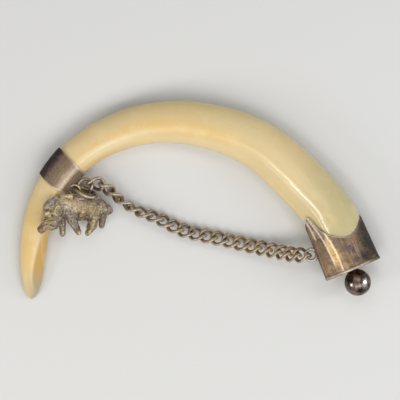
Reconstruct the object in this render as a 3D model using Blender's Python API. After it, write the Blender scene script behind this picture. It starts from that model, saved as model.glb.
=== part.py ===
"""Boar tusk with silver mounts, a chain and a boar charm, lying on its side.

Metres, +Z up. The origin is on the surface below the middle of the whole piece. The tusk
curves from its thick end at +X round the +Y side to its tip at -X.
"""
import math

import bmesh
import bpy
import numpy as np
from mathutils import Matrix, Vector

# Fit of the mounts: clearance between touching pieces and thickness of the silver
GAP = 0.0003
CAP_WALL = 0.0006
BAND_WALL = 0.0007

# Tusk: stations (x, y, width, thickness, height of its underside) along its middle line
TUSK_STATIONS = [
    (0.0635, -0.0268, 0.0213, 0.0166, 0.0011),
    (0.0596, -0.0178, 0.0213, 0.0166, 0.0011),
    (0.0549, -0.0066, 0.0216, 0.0166, 0.0010),
    (0.0456, 0.0046, 0.0216, 0.0164, 0.0007),
    (0.0275, 0.0212, 0.0205, 0.0156, 0.0002),
    (0.0042, 0.0308, 0.0189, 0.0146, 0.0000),
    (-0.0206, 0.0321, 0.0170, 0.0132, 0.0000),
    (-0.0329, 0.0290, 0.0161, 0.0125, 0.0001),
    (-0.0440, 0.0238, 0.0150, 0.0118, 0.0004),
    (-0.0540, 0.0160, 0.0139, 0.0110, 0.0010),
    (-0.0618, 0.0063, 0.0127, 0.0104, 0.0010),
    (-0.0696, -0.0173, 0.0115, 0.0086, 0.0008),
    (-0.0706, -0.0300, 0.0098, 0.0066, 0.0008),
    (-0.0709, -0.0418, 0.0084, 0.0044, 0.0010),
]
TUSK_RINGS = 42
TUSK_SIDES = 20
TIP_ROUND = 0.0125
SECTION_POWER = 2.2
RIDGE_TOP = 0.30
RIDGE_UNDER = 0.12
# Flats of the section: direction they face in degrees and distance, as shares of its size
SECTION_FLATS = [(107.8, 1.010), (141.7, 0.950)]

# Worn facet on the tip: it falls towards the inner edge, from a line on the upper face
WEAR_POINTS = [
    (-0.0649, -0.0136, 0.0080),
    (-0.0708, -0.0299, 0.0072),
    (-0.0663, -0.0300, 0.0050),
]
WEAR_START_Y = -0.0080

# End cap: straight sleeve, its axis leaving the tusk, with a rim of tongues and hollows
CAP_BASE = (0.0645, -0.0293)
CAP_ANGLE = math.radians(-67.0)
CAP_HALF_WIDTH_BASE = 0.01225
CAP_HALF_WIDTH_TOP = 0.01175
CAP_HALF_THICK = 0.00945
CAP_MIDDLE_Z = 0.0092
CAP_TAPER_LENGTH = 0.0200
CAP_FOLLOW = 9.0
CAP_SIDES = 40
CAP_ROWS = 4
CAP_RIM = [
    (0, 0.0188), (20, 0.0176), (36, 0.0153), (52, 0.0138), (68, 0.0139), (86, 0.0162),
    (104, 0.0195), (120, 0.0227), (134, 0.0265), (147, 0.0275), (162, 0.0257), (182, 0.0210),
    (205, 0.0170), (232, 0.0141), (258, 0.0138), (285, 0.0160), (310, 0.0197), (335, 0.0215),
]

# Base plate and ball finial
PLATE_THICK = 0.0014
PLATE_LIP = 0.0002
PLATE_ROUND = 0.0003
BALL_RADIUS = 0.0056
BALL_NECK_RADIUS = 0.0024
BALL_REACH = 0.00575
BALL_SIDE_SHIFT = -0.0004
BALL_SIDES = 20
BALL_ARC_STEPS = 9

# Band round the thin end: where it starts and ends along the tusk's middle line
BAND_STARTS_AT = (-0.0535, 0.0164)
BAND_LENGTH = 0.0118
BAND_BOW = 0.0020
BAND_SIDES = 20

# Soldered rings: centre, mean radius and wire radius
CAP_RING_CENTRE = (0.0469, -0.0232, 0.0095)
CAP_RING_RADIUS = 0.0024
CAP_RING_WIRE = 0.00075
BAND_RING_CENTRE = (-0.0526, 0.0043, 0.0064)
BAND_RING_RADIUS = 0.0023
BAND_RING_WIRE = 0.0005
RING_STEPS = 16
RING_SIDES = 8

# Chain: twisted round links, and the route of their centres (x, y, z, roll in degrees)
LINK_COUNT = 22
LINK_HALF_LENGTH = 0.0034
LINK_HALF_WIDTH = 0.0029
LINK_WIRE = 0.00067
LINK_TWIST = math.radians(-45.0)
LINK_STEPS = 14
CHAIN_PITCH = 0.00517
CHAIN_PITCH_RIGHT = 0.0044
CHAIN_SLACK_FROM = 14
CHAIN_ROUTE = [
    (-0.0488, 0.0058, 0.0064, -150),
    (-0.0437, 0.0067, 0.0062, -134),
    (-0.0390, 0.0047, 0.0056, -117),
    (-0.0346, 0.0010, 0.0049, -101),
    (-0.0307, -0.0021, 0.0043, -87),
    (-0.0269, -0.0043, 0.0040, -75),
    (-0.0232, -0.0058, 0.0038, -66),
    (-0.0187, -0.0074, 0.0036, -58),
    (-0.0137, -0.0097, 0.0034, -51),
    (-0.0091, -0.0120, 0.0032, -48),
    (-0.0040, -0.0137, 0.0032, -47),
    (0.0056, -0.0158, 0.0032, -47),
    (0.0153, -0.0180, 0.0033, -47),
    (0.0241, -0.0200, 0.0038, -47),
    (0.0332, -0.0220, 0.0060, -47),
    (0.0395, -0.0231, 0.0086, -46),
    (0.0431, -0.0233, 0.0095, -45),
]

# Long ring of the charm
CHARM_RING_CENTRE = (-0.0476, 0.0023, 0.0061)
CHARM_RING_HALF_LENGTH = 0.00516
CHARM_RING_HALF_WIDTH = 0.00296
CHARM_RING_WIRE = 0.0005
CHARM_RING_TURN = math.radians(-12.0)
CHARM_RING_PITCH = math.radians(5.0)
CHARM_RING_LEAN = math.radians(70.0)
CHARM_RING_STEPS = 18

# Boar charm, drawn in the plane of its own flank: x and y along the flank, z across it.
# Lumps are (centre, radii, turn in degrees); limbs are (start, end, start and end radius).
CHARM_PIVOT = (-0.0430, -0.0050, 0.0044)
CHARM_TILT = math.radians(20.5)
CHARM_VOXEL = 0.00030
CHARM_KEEP = 0.042
CHARM_LUMPS = [
    ((0.0040, 0.0008, 0.0), (0.0022, 0.0024, 0.0024), 0),
    ((0.0006, 0.0011, 0.0), (0.0041, 0.0041, 0.0040), 0),
    ((-0.0036, 0.0005, 0.0), (0.0048, 0.0045, 0.0042), 0),
    ((-0.0077, 0.0007, 0.0), (0.0050, 0.0046, 0.0040), 0),
    ((-0.0119, 0.0010, 0.0003), (0.0050, 0.0049, 0.0040), 0),
    ((-0.0154, 0.0021, 0.0024), (0.0038, 0.0044, 0.0032), 20),
    ((-0.0209, 0.0000, 0.0034), (0.0042, 0.0055, 0.0026), 16),
    ((-0.0206, -0.0048, 0.0036), (0.0036, 0.0026, 0.0023), 40),
    ((-0.0026, -0.0012, 0.0020), (0.0031, 0.0038, 0.0024), -10),
    ((-0.0122, -0.0010, 0.0026), (0.0030, 0.0044, 0.0020), 15),
    ((-0.0182, 0.0006, 0.0056), (0.0021, 0.0026, 0.0011), -35),
    ((-0.0204, 0.0040, 0.0042), (0.0014, 0.0033, 0.0012), -50),
]
CHARM_LIMBS = [
    ((-0.0218, -0.0036, 0.0034), (-0.0256, -0.0072, 0.0028), 0.0026, 0.0020),
    ((-0.0202, -0.0046, 0.0036), (-0.0210, -0.0064, 0.0034), 0.0020, 0.0013),
    ((-0.0122, -0.0032, 0.0022), (-0.0092, -0.0088, 0.0026), 0.0023, 0.0011),
    ((-0.0152, -0.0030, -0.0016), (-0.0148, -0.0094, -0.0020), 0.0016, 0.0011),
    ((-0.0030, -0.0034, 0.0022), (-0.0026, -0.0058, 0.0024), 0.0022, 0.0017),
    ((-0.0026, -0.0058, 0.0024), (-0.0052, -0.0091, 0.0024), 0.0017, 0.0011),
    ((-0.0010, -0.0024, -0.0012), (-0.0034, -0.0066, -0.0012), 0.0016, 0.0011),
    ((0.0028, -0.0008, -0.0006), (0.0023, -0.0060, -0.0008), 0.0017, 0.0011),
]
EYELET_CENTRE = (-0.0427, 0.0012, 0.0057)
EYELET_RADIUS = 0.0015
EYELET_WIRE = 0.0004

# Colours (linear RGB), roughness and metallic value
FINISHES = {
    "ivory": ((0.72, 0.60, 0.36), 0.32, 0.0),
    "tarnished_silver": ((0.36, 0.28, 0.21), 0.34, 1.0),
    "dark_ball": ((0.12, 0.09, 0.08), 0.16, 1.0),
    "chain_silver": ((0.42, 0.34, 0.25), 0.40, 1.0),
    "cast_metal": ((0.42, 0.36, 0.26), 0.62, 0.6),
}


class Line:
    """A smooth line through stations; the first numbers of each are its place."""

    def __init__(self, stations, place_numbers):
        self.values = np.array(stations, dtype=float)
        self.steps = np.linalg.norm(np.diff(self.values[:, :place_numbers], axis=0), axis=1)
        self.at_station = np.concatenate([[0.0], np.cumsum(self.steps)])
        self.length = float(self.at_station[-1])
        self.bends = self.solve_bends()

    def solve_bends(self):
        """Second derivatives at the stations, with straight ends."""
        count = len(self.values)
        matrix = np.zeros((count, count))
        right = np.zeros_like(self.values)
        matrix[0, 0] = 1.0
        matrix[-1, -1] = 1.0
        for i in range(1, count - 1):
            before, after = self.steps[i - 1], self.steps[i]
            matrix[i, i - 1:i + 2] = (before, 2.0 * (before + after), after)
            rise_after = (self.values[i + 1] - self.values[i]) / after
            rise_before = (self.values[i] - self.values[i - 1]) / before
            right[i] = 6.0 * (rise_after - rise_before)
        return np.linalg.solve(matrix, right)

    def at(self, distance):
        """The station's numbers at a distance along the line."""
        i = int(np.clip(np.searchsorted(self.at_station, distance) - 1, 0, len(self.steps) - 1))
        step = self.steps[i]
        u = (self.at_station[i + 1] - distance) / step
        v = 1.0 - u
        straight = u * self.values[i] + v * self.values[i + 1]
        bent = (u ** 3 - u) * self.bends[i] + (v ** 3 - v) * self.bends[i + 1]
        return straight + bent * step * step / 6.0

    def direction(self, distance, numbers):
        """Unit direction of travel, from the first numbers of the stations."""
        reach = 0.0002
        way = (self.at(distance + reach) - self.at(distance - reach))[:numbers]
        return way / np.linalg.norm(way)


def clear_scene():
    """Remove every object that is there."""
    for obj in list(bpy.data.objects):
        bpy.data.objects.remove(obj)


def finish(name):
    """The material of a finish, made once."""
    found = bpy.data.materials.get(name)
    if found:
        return found
    colour, roughness, metallic = FINISHES[name]
    mat = bpy.data.materials.new(name)
    mat.use_nodes = True
    shader = mat.node_tree.nodes["Principled BSDF"]
    shader.inputs["Base Color"].default_value = (*colour, 1.0)
    shader.inputs["Roughness"].default_value = roughness
    shader.inputs["Metallic"].default_value = metallic
    mat.diffuse_color = (*colour, 1.0)
    return mat


def add_object(name, data, material):
    """Put a mesh or a curve in the scene under a node's name."""
    obj = bpy.data.objects.new(name, data)
    data.materials.clear()
    data.materials.append(finish(material))
    bpy.context.scene.collection.objects.link(obj)
    return obj


def mesh_from(bm, name):
    """A mesh with smooth faces and sharp edges from a bmesh, which is freed."""
    bmesh.ops.recalc_face_normals(bm, faces=bm.faces)
    mesh = bpy.data.meshes.new(name)
    bm.to_mesh(mesh)
    bm.free()
    mesh.shade_smooth()
    mesh.set_sharp_from_angle(angle=math.radians(40.0))
    return mesh


def signed_power(value, power):
    """Power of a value's size, with its sign kept."""
    return math.copysign(abs(value) ** power, value)


def section_point(angle, half_width, half_thick):
    """A point (outward, up) of the tusk's section, with two ridges near the inner edge."""
    across = signed_power(math.cos(angle), 2.0 / SECTION_POWER)
    up = signed_power(math.sin(angle), 2.0 / SECTION_POWER)
    across -= (RIDGE_TOP if up > 0.0 else RIDGE_UNDER) * up * up
    for facing, reach in SECTION_FLATS:
        turn = math.radians(facing)
        beyond = max(0.0, across * math.cos(turn) + up * math.sin(turn) - reach)
        across -= beyond * math.cos(turn)
        up -= beyond * math.sin(turn)
    return across * half_width, up * half_thick


def bridge_rings(bm, rings, closed=False):
    """Join rings of vertices, each to the next, and the last to the first if closed."""
    pairs = list(zip(rings, rings[1:]))
    if closed:
        pairs.append((rings[-1], rings[0]))
    for low, high in pairs:
        count = len(low)
        for i in range(count):
            j = (i + 1) % count
            bm.faces.new((low[i], low[j], high[j], high[i]))


TUSK_LINE = Line(TUSK_STATIONS, 2)
CHAIN_LINE = Line(CHAIN_ROUTE, 3)


def tusk_frame(distance):
    """Middle (x, y), outward direction, half width, half thickness and underside height."""
    x, y, width, thick, lift = TUSK_LINE.at(distance)
    lift = max(lift, 0.0)
    way = TUSK_LINE.direction(distance, 2)
    outward = (way[1], -way[0])
    into_tip = max(0.0, distance - (TUSK_LINE.length - TIP_ROUND)) / TIP_ROUND
    shrink = math.sqrt(max(0.0, 1.0 - into_tip ** 2))
    return (x, y), outward, width / 2.0 * shrink, thick / 2.0 * shrink, lift


def wear_height(x, y):
    """Height of the worn facet's plane."""
    a, b, c = (Vector(p) for p in WEAR_POINTS)
    normal = (b - a).cross(c - a)
    return a.z - (normal.x * (x - a.x) + normal.y * (y - a.y)) / normal.z


def tusk_ring(distance, sides, grow=0.0, floor=None):
    """Points of the tusk's skin round one station, grown outwards for the mounts."""
    (x, y), outward, half_width, half_thick, lift = tusk_frame(distance)
    flat = 0.965 * half_thick
    middle_z = lift + flat
    low = lift if floor is None else floor
    points = []
    for i in range(sides):
        angle = 2.0 * math.pi * i / sides
        across, up = section_point(angle, half_width + grow, half_thick + grow)
        px, py = x + across * outward[0], y + across * outward[1]
        pz = max(middle_z + up, low)
        if grow == 0.0 and py < WEAR_START_Y and px < 0.0:
            pz = min(pz, wear_height(px, py))
        points.append((px, py, pz))
    return points


def make_tusk():
    """The tusk, one solid from its flat root inside the cap to its worn tip."""
    bm = bmesh.new()
    rings = []
    for i in range(TUSK_RINGS):
        share = i / TUSK_RINGS
        distance = TUSK_LINE.length * (share + 0.35 * share * share * (1.0 - share))
        rings.append([bm.verts.new(p) for p in tusk_ring(distance, TUSK_SIDES)])
    bridge_rings(bm, rings)
    bm.faces.new(rings[0])
    x, y, _, _, lift = TUSK_LINE.at(TUSK_LINE.length)
    tip = bm.verts.new((x, y, lift + 0.0016))
    for i in range(TUSK_SIDES):
        bm.faces.new((rings[-1][i], rings[-1][(i + 1) % TUSK_SIDES], tip))
    return add_object("tusk", mesh_from(bm, "tusk"), "ivory")


def cap_point(angle, height, grow, floor):
    """A point of the cap's skin at an angle round it and a height above its base."""
    share = min(1.0, height / CAP_TAPER_LENGTH)
    half_width = CAP_HALF_WIDTH_BASE + (CAP_HALF_WIDTH_TOP - CAP_HALF_WIDTH_BASE) * share
    across, up = section_point(angle, half_width + grow, CAP_HALF_THICK + grow)
    across -= CAP_FOLLOW * max(0.0, height - CAP_TAPER_LENGTH) ** 2
    axis = (math.cos(CAP_ANGLE), math.sin(CAP_ANGLE))
    outward = (-axis[1], axis[0])
    x = CAP_BASE[0] - axis[0] * height + outward[0] * across
    y = CAP_BASE[1] - axis[1] * height + outward[1] * across
    return x, y, max(CAP_MIDDLE_Z + up, floor)


def rim_height(angle):
    """Height of the scalloped rim at an angle round the cap."""
    turns = [(a - 360.0, h) for a, h in CAP_RIM[-4:]] + CAP_RIM
    turns += [(a + 360.0, h) for a, h in CAP_RIM[:4]]
    angles = np.array([t[0] for t in turns])
    heights = np.array([t[1] for t in turns])
    at = math.degrees(angle) % 360.0
    slopes = np.gradient(heights, angles)
    i = int(np.searchsorted(angles, at, side="right") - 1)
    span = angles[i + 1] - angles[i]
    t = (at - angles[i]) / span
    start = (1.0 + 2.0 * t) * (1.0 - t) ** 2 * heights[i] + t * (1.0 - t) ** 2 * span * slopes[i]
    end = t * t * (3.0 - 2.0 * t) * heights[i + 1] + t * t * (t - 1.0) * span * slopes[i + 1]
    return start + end


def cap_sleeve(grow_out, grow_in, foot, floor_out, floor_in):
    """The cap's sleeve as a bmesh: outer wall, rim, inner wall and foot ring."""
    bm = bmesh.new()
    rings = []
    for row in range(CAP_ROWS + 1):
        rings.append([
            bm.verts.new(cap_point(a, foot + (rim_height(a) - foot) * row / CAP_ROWS, grow_out,
                                   floor_out))
            for a in cap_angles()
        ])
    for row in range(CAP_ROWS, -1, -1):
        rings.append([
            bm.verts.new(cap_point(a, foot + (rim_height(a) - foot) * row / CAP_ROWS, grow_in,
                                   floor_in))
            for a in cap_angles()
        ])
    bridge_rings(bm, rings, closed=True)
    return bm


def cap_angles():
    """Angles of the points round the cap."""
    return [2.0 * math.pi * i / CAP_SIDES for i in range(CAP_SIDES)]


def make_end_cap():
    """The scalloped sleeve over the tusk's thick end."""
    bm = cap_sleeve(0.0, -CAP_WALL, PLATE_THICK + GAP, 0.0, CAP_WALL)
    return add_object("end_cap", mesh_from(bm, "end_cap"), "tarnished_silver")


def make_base_plate():
    """The flat plate under the cap, with a small rounded lip."""
    levels = [
        (PLATE_THICK, PLATE_LIP - PLATE_ROUND),
        (PLATE_THICK - PLATE_ROUND, PLATE_LIP),
        (PLATE_ROUND, PLATE_LIP),
        (0.0, PLATE_LIP - PLATE_ROUND),
    ]
    bm = bmesh.new()
    rings = [
        [bm.verts.new(cap_point(a, height, grow, 0.0)) for a in cap_angles()]
        for height, grow in levels
    ]
    bridge_rings(bm, rings)
    bm.faces.new(rings[0])
    bm.faces.new(rings[-1])
    return add_object("cap_base_plate", mesh_from(bm, "cap_base_plate"), "tarnished_silver")


def make_ball():
    """The ball on its short neck, turned about the cap's axis."""
    start = math.asin(BALL_NECK_RADIUS / BALL_RADIUS)
    profile = [(0.0, GAP), (BALL_NECK_RADIUS - GAP, GAP), (BALL_NECK_RADIUS, 2.0 * GAP)]
    for i in range(BALL_ARC_STEPS + 1):
        angle = start + (math.pi - start) * i / BALL_ARC_STEPS
        radius = BALL_RADIUS * math.sin(angle)
        profile.append((max(radius, 0.0), BALL_REACH - BALL_RADIUS * math.cos(angle)))
    bm = bmesh.new()
    verts = [bm.verts.new((radius, 0.0, -height)) for radius, height in profile]
    edges = [bm.edges.new(pair) for pair in zip(verts, verts[1:])]
    bmesh.ops.spin(bm, geom=verts + edges, cent=(0, 0, 0), axis=(0, 0, 1), dvec=(0, 0, 0),
                   angle=2.0 * math.pi, steps=BALL_SIDES, use_merge=True, use_duplicate=False)
    bmesh.ops.remove_doubles(bm, verts=bm.verts, dist=0.00001)
    obj = add_object("ball_finial", mesh_from(bm, "ball_finial"), "dark_ball")
    axis = Vector((math.cos(CAP_ANGLE), math.sin(CAP_ANGLE), 0.0))
    outward = Vector((-axis.y, axis.x, 0.0))
    obj.rotation_mode = "QUATERNION"
    obj.rotation_quaternion = (-axis).to_track_quat("Z", "Y")
    obj.location = Vector((*CAP_BASE, CAP_MIDDLE_Z)) + outward * BALL_SIDE_SHIFT
    return obj


def make_ring(name, centre, radius, wire):
    """A flat soldered ring, lying level."""
    bpy.ops.mesh.primitive_torus_add(location=centre, major_radius=radius, minor_radius=wire,
                                     major_segments=RING_STEPS, minor_segments=RING_SIDES)
    obj = bpy.context.object
    obj.name = name
    obj.data.name = name
    obj.data.materials.append(finish("chain_silver"))
    obj.data.shade_smooth()
    return obj


def cut_with(obj, cutter):
    """Cut a ring back to where it is soldered on."""
    cutter.hide_render = True
    cutter.display_type = "WIRE"
    cut = obj.modifiers.new("solder_line", "BOOLEAN")
    cut.operation = "DIFFERENCE"
    cut.object = cutter
    return cut


def make_cap_ring():
    """The ring on the cap, cut to the curve of its wall."""
    bm = bmesh.new()
    heights = (0.0, CAP_TAPER_LENGTH)
    rings = [[bm.verts.new(cap_point(a, h, GAP, -1.0)) for a in cap_angles()] for h in heights]
    bridge_rings(bm, rings)
    bm.faces.new(rings[0])
    bm.faces.new(rings[-1])
    cutter = add_object("cap_ring_cutter", mesh_from(bm, "cap_ring_cutter"), "chain_silver")
    ring = make_ring("cap_loop", CAP_RING_CENTRE, CAP_RING_RADIUS, CAP_RING_WIRE)
    cut_with(ring, cutter)
    return ring


def band_range():
    """Distances along the tusk between which the band lies."""
    places = np.linspace(0.0, TUSK_LINE.length, 400)
    gaps = [math.dist(TUSK_LINE.at(p)[:2], BAND_STARTS_AT) for p in places]
    start = float(places[int(np.argmin(gaps))])
    return start, start + BAND_LENGTH


def band_rings(bm, grow, floor, steps):
    """Rings of vertices along the band, whose rim towards the tip is bowed."""
    start, end = band_range()
    rings = []
    for i in range(steps + 1):
        ring = []
        for side in range(BAND_SIDES):
            bow = BAND_BOW * math.sin(2.0 * math.pi * side / BAND_SIDES) ** 2
            distance = start + (end + bow - start) * i / steps
            ring.append(bm.verts.new(tusk_ring(distance, BAND_SIDES, grow, floor)[side]))
        rings.append(ring)
    return rings


def make_collar():
    """The silver band round the thin end, and its soldered ring."""
    bm = bmesh.new()
    outer = band_rings(bm, GAP + BAND_WALL, 0.0, 3)
    inner = band_rings(bm, GAP, BAND_WALL, 3)
    bridge_rings(bm, outer + inner[::-1], closed=True)
    collar = add_object("collar", mesh_from(bm, "collar"), "tarnished_silver")

    bm = bmesh.new()
    rings = band_rings(bm, 2.0 * GAP + BAND_WALL, -1.0, 3)
    bridge_rings(bm, rings)
    bm.faces.new(rings[0])
    bm.faces.new(rings[-1])
    cutter = add_object("band_ring_cutter", mesh_from(bm, "band_ring_cutter"), "chain_silver")
    ring = make_ring("collar_loop", BAND_RING_CENTRE, BAND_RING_RADIUS, BAND_RING_WIRE)
    cut_with(ring, cutter)
    return collar, ring


def wire_curve(name, points, wire):
    """A closed loop of round wire through points, as a bevelled curve."""
    curve = bpy.data.curves.new(name, "CURVE")
    curve.dimensions = "3D"
    spline = curve.splines.new("POLY")
    spline.points.add(len(points) - 1)
    for slot, place in zip(spline.points, points):
        slot.co = (*place, 1.0)
    spline.use_cyclic_u = True
    spline.use_smooth = True
    curve.bevel_depth = wire
    curve.bevel_resolution = 1
    return curve


def link_points(steps):
    """Middle line of one link, an oval twisted a quarter turn from end to end."""
    points = []
    for i in range(steps):
        angle = 2.0 * math.pi * i / steps
        x = LINK_HALF_LENGTH * math.cos(angle)
        y = LINK_HALF_WIDTH * math.sin(angle)
        turn = LINK_TWIST * x / LINK_HALF_LENGTH
        points.append((x, y * math.cos(turn), y * math.sin(turn)))
    return points


def link_places():
    """Place and turn of every link along the route, as matrices."""
    pitches = []
    for k in range(LINK_COUNT - 1):
        share = max(0.0, k - CHAIN_SLACK_FROM) / (LINK_COUNT - 2 - CHAIN_SLACK_FROM)
        pitches.append(CHAIN_PITCH + (CHAIN_PITCH_RIGHT - CHAIN_PITCH) * share)
    scale = CHAIN_LINE.length / sum(pitches)
    distance = 0.0
    places = []
    for k in range(LINK_COUNT):
        x, y, z, roll = CHAIN_LINE.at(distance)
        forward = Vector(CHAIN_LINE.direction(distance, 3))
        side = Vector((0.0, 0.0, 1.0)).cross(forward).normalized()
        up = forward.cross(side)
        turn = Matrix((forward, side, up)).transposed().to_4x4()
        spin = Matrix.Rotation(math.radians(roll), 4, "X")
        places.append(Matrix.Translation((x, y, z)) @ turn @ spin)
        if k < LINK_COUNT - 1:
            distance += pitches[k] * scale
    return places


def make_chain():
    """All the links, each a copy of one twisted loop of wire."""
    curve = wire_curve("chain_link", link_points(LINK_STEPS), LINK_WIRE)
    links = []
    for k, place in enumerate(link_places()):
        link = add_object(f"chain_link_{k + 1:02d}", curve, "chain_silver")
        link.matrix_world = place
        links.append(link)
    return links


def make_charm_ring():
    """The long ring between the band's ring and the charm's eyelet."""
    points = []
    for i in range(CHARM_RING_STEPS):
        angle = 2.0 * math.pi * i / CHARM_RING_STEPS
        x = CHARM_RING_HALF_LENGTH * math.cos(angle)
        y = CHARM_RING_HALF_WIDTH * math.sin(angle)
        points.append((x, y, 0.0))
    curve = wire_curve("charm_ring", points, CHARM_RING_WIRE)
    obj = add_object("charm_ring", curve, "chain_silver")
    obj.location = CHARM_RING_CENTRE
    obj.rotation_euler = (CHARM_RING_LEAN, CHARM_RING_PITCH, CHARM_RING_TURN)
    return obj


def add_lump(bm, centre, radii, turn):
    """An egg-shaped lump of the charm."""
    size = Matrix.Diagonal((*radii, 1.0))
    place = Matrix.Translation(centre) @ Matrix.Rotation(math.radians(turn), 4, "Z") @ size
    bmesh.ops.create_icosphere(bm, subdivisions=3, radius=1.0, matrix=place)


def add_limb(bm, start, end, start_radius, end_radius):
    """A tapered limb of the charm with round ends."""
    start, end = Vector(start), Vector(end)
    along = end - start
    turn = along.to_track_quat("Z", "Y").to_matrix().to_4x4()
    place = Matrix.Translation((start + end) / 2.0) @ turn
    bmesh.ops.create_cone(bm, cap_ends=True, segments=16, radius1=start_radius,
                          radius2=end_radius, depth=along.length, matrix=place)
    for centre, radius in ((start, start_radius), (end, end_radius)):
        add_lump(bm, centre, (radius, radius, radius), 0.0)


def make_charm():
    """The cast boar: lumps and limbs melted into one skin, with an eyelet on its back."""
    bm = bmesh.new()
    for lump in CHARM_LUMPS:
        add_lump(bm, *lump)
    for limb in CHARM_LIMBS:
        add_limb(bm, *limb)
    charm = add_object("boar_charm", mesh_from(bm, "boar_charm"), "cast_metal")
    charm.location = CHARM_PIVOT
    charm.rotation_euler = (0.0, CHARM_TILT, 0.0)
    melt = charm.modifiers.new("melt", "REMESH")
    melt.mode = "VOXEL"
    melt.voxel_size = CHARM_VOXEL
    thin = charm.modifiers.new("thin", "DECIMATE")
    thin.ratio = CHARM_KEEP
    eyelet = make_ring("eyelet_shape", EYELET_CENTRE, EYELET_RADIUS, EYELET_WIRE)
    eyelet.hide_render = True
    eyelet.display_type = "WIRE"
    join = charm.modifiers.new("eyelet", "BOOLEAN")
    join.operation = "UNION"
    join.object = eyelet
    return charm


def main():
    """Model the whole piece."""
    clear_scene()
    make_tusk()
    make_end_cap()
    make_base_plate()
    make_ball()
    make_cap_ring()
    make_collar()
    make_chain()
    make_charm_ring()
    make_charm()


main()
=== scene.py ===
"""Dressed model of a boar tusk with silver mounts, a curb chain and a cast boar charm.

It is laid out as a Blender add-on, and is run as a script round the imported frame. Every piece
stands for the frame's node of the same part, in metres, lying on its side on z = 0.
"""

import math

import bmesh
import bpy
import numpy as np
from mathutils import Matrix, Vector, noise


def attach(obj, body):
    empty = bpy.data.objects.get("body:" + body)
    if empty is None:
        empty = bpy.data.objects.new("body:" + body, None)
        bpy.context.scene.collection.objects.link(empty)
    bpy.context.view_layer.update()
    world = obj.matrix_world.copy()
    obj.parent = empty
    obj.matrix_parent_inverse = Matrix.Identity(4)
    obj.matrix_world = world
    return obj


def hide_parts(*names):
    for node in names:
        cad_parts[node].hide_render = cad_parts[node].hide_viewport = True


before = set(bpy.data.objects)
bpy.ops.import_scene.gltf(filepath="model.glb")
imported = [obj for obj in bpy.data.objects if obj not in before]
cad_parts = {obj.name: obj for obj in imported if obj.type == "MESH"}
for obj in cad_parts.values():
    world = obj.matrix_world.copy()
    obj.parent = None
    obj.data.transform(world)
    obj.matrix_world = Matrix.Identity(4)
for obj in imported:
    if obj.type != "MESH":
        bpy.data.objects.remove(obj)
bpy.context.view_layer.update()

bl_info = {
    "name": "Mounted Boar Tusk",
    "version": (1, 0, 0),
    "blender": (4, 5, 0),
    "location": "3D View > Sidebar > Tusk",
    "description": "Models a silver-mounted boar tusk with its chain and charm",
    "category": "Add Mesh",
}

BODY = "root"

# Tusk: stations (x, y, width, thickness, height of its underside) along its middle line
TUSK_STATIONS = [
    (0.0635, -0.0268, 0.0213, 0.0166, 0.0011),
    (0.0596, -0.0178, 0.0213, 0.0166, 0.0011),
    (0.0549, -0.0066, 0.0216, 0.0166, 0.0010),
    (0.0456, 0.0046, 0.0216, 0.0164, 0.0007),
    (0.0275, 0.0212, 0.0205, 0.0156, 0.0002),
    (0.0042, 0.0308, 0.0189, 0.0146, 0.0000),
    (-0.0206, 0.0321, 0.0170, 0.0132, 0.0000),
    (-0.0329, 0.0290, 0.0161, 0.0125, 0.0001),
    (-0.0440, 0.0238, 0.0150, 0.0118, 0.0004),
    (-0.0540, 0.0160, 0.0139, 0.0110, 0.0010),
    (-0.0618, 0.0063, 0.0127, 0.0104, 0.0010),
    (-0.0696, -0.0173, 0.0115, 0.0086, 0.0008),
    (-0.0706, -0.0300, 0.0098, 0.0066, 0.0008),
    (-0.0709, -0.0418, 0.0084, 0.0044, 0.0010),
]
TUSK_SIDES = 112
TUSK_RINGS = 300
TIP_ROUND = 0.0125
SEAT_SHARE = 0.965
SECTION_POWER = 2.2
RIDGE_TOP = 0.30
RIDGE_UNDER = 0.12
# Flats of the section: direction they face in degrees, distance, and softness of the crease
SECTION_FLATS = [(107.8, 1.017, 0.005), (141.7, 0.950, 0.010)]
CREASE_FADE = 7.0
# Shares of the length between which the creases are softer
CREASE_MIDDLE = ((0.24, 0.36), (0.64, 0.54))

# Worn facet on the tip, as three points of its plane
WEAR_POINTS = [
    (-0.0660, -0.0152, 0.0088),
    (-0.0706, -0.0310, 0.0070),
    (-0.0663, -0.0300, 0.0048),
]
WEAR_START_Y = -0.0080
WEAR_SOFT = 0.00022

# Tones of the ivory: centre (share of the length, share across), radii and strength
AMBER_PATCHES = [
    ((0.42, -0.35), (0.10, 0.35), 0.75),
    ((0.56, -0.06), (0.14, 0.30), 0.80),
    ((0.48, 0.55), (0.14, 0.50), 0.25),
    ((0.90, 0.40), (0.09, 0.60), 0.95),
    ((0.68, -0.98), (0.08, 0.16), 0.90),
    ((0.83, 0.10), (0.05, 0.60), 0.40),
]
# Pale patches: partly the ivory's paler tone, partly painted highlight; the first stands for the
# broad sheen on the inner side past the middle.
PALE_AND_SHEEN_PATCHES = [
    ((0.63, -0.55), (0.08, 0.22), 0.90),
    ((0.20, -0.40), (0.10, 0.30), 0.60),
    ((0.33, 0.40), (0.12, 0.40), 0.30),
    ((0.38, -0.80), (0.14, 0.25), 0.45),
    ((0.79, 0.00), (0.04, 0.70), 0.35),
]
GREY_PATCHES = [
    ((0.03, 0.40), (0.14, 1.60), 1.00),
    ((0.16, 0.95), (0.20, 0.40), 0.35),
]
# Golden stain beside the worn facet, in the same measures
WEAR_STAIN = ((0.890, -0.80), (0.040, 0.34))
WEAR_RUN = 0.004
TUSK_RIPPLE = 0.00005
RING_CROWDING = 1.12
TIP_CENTRE_LIFT = 0.0016
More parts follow.
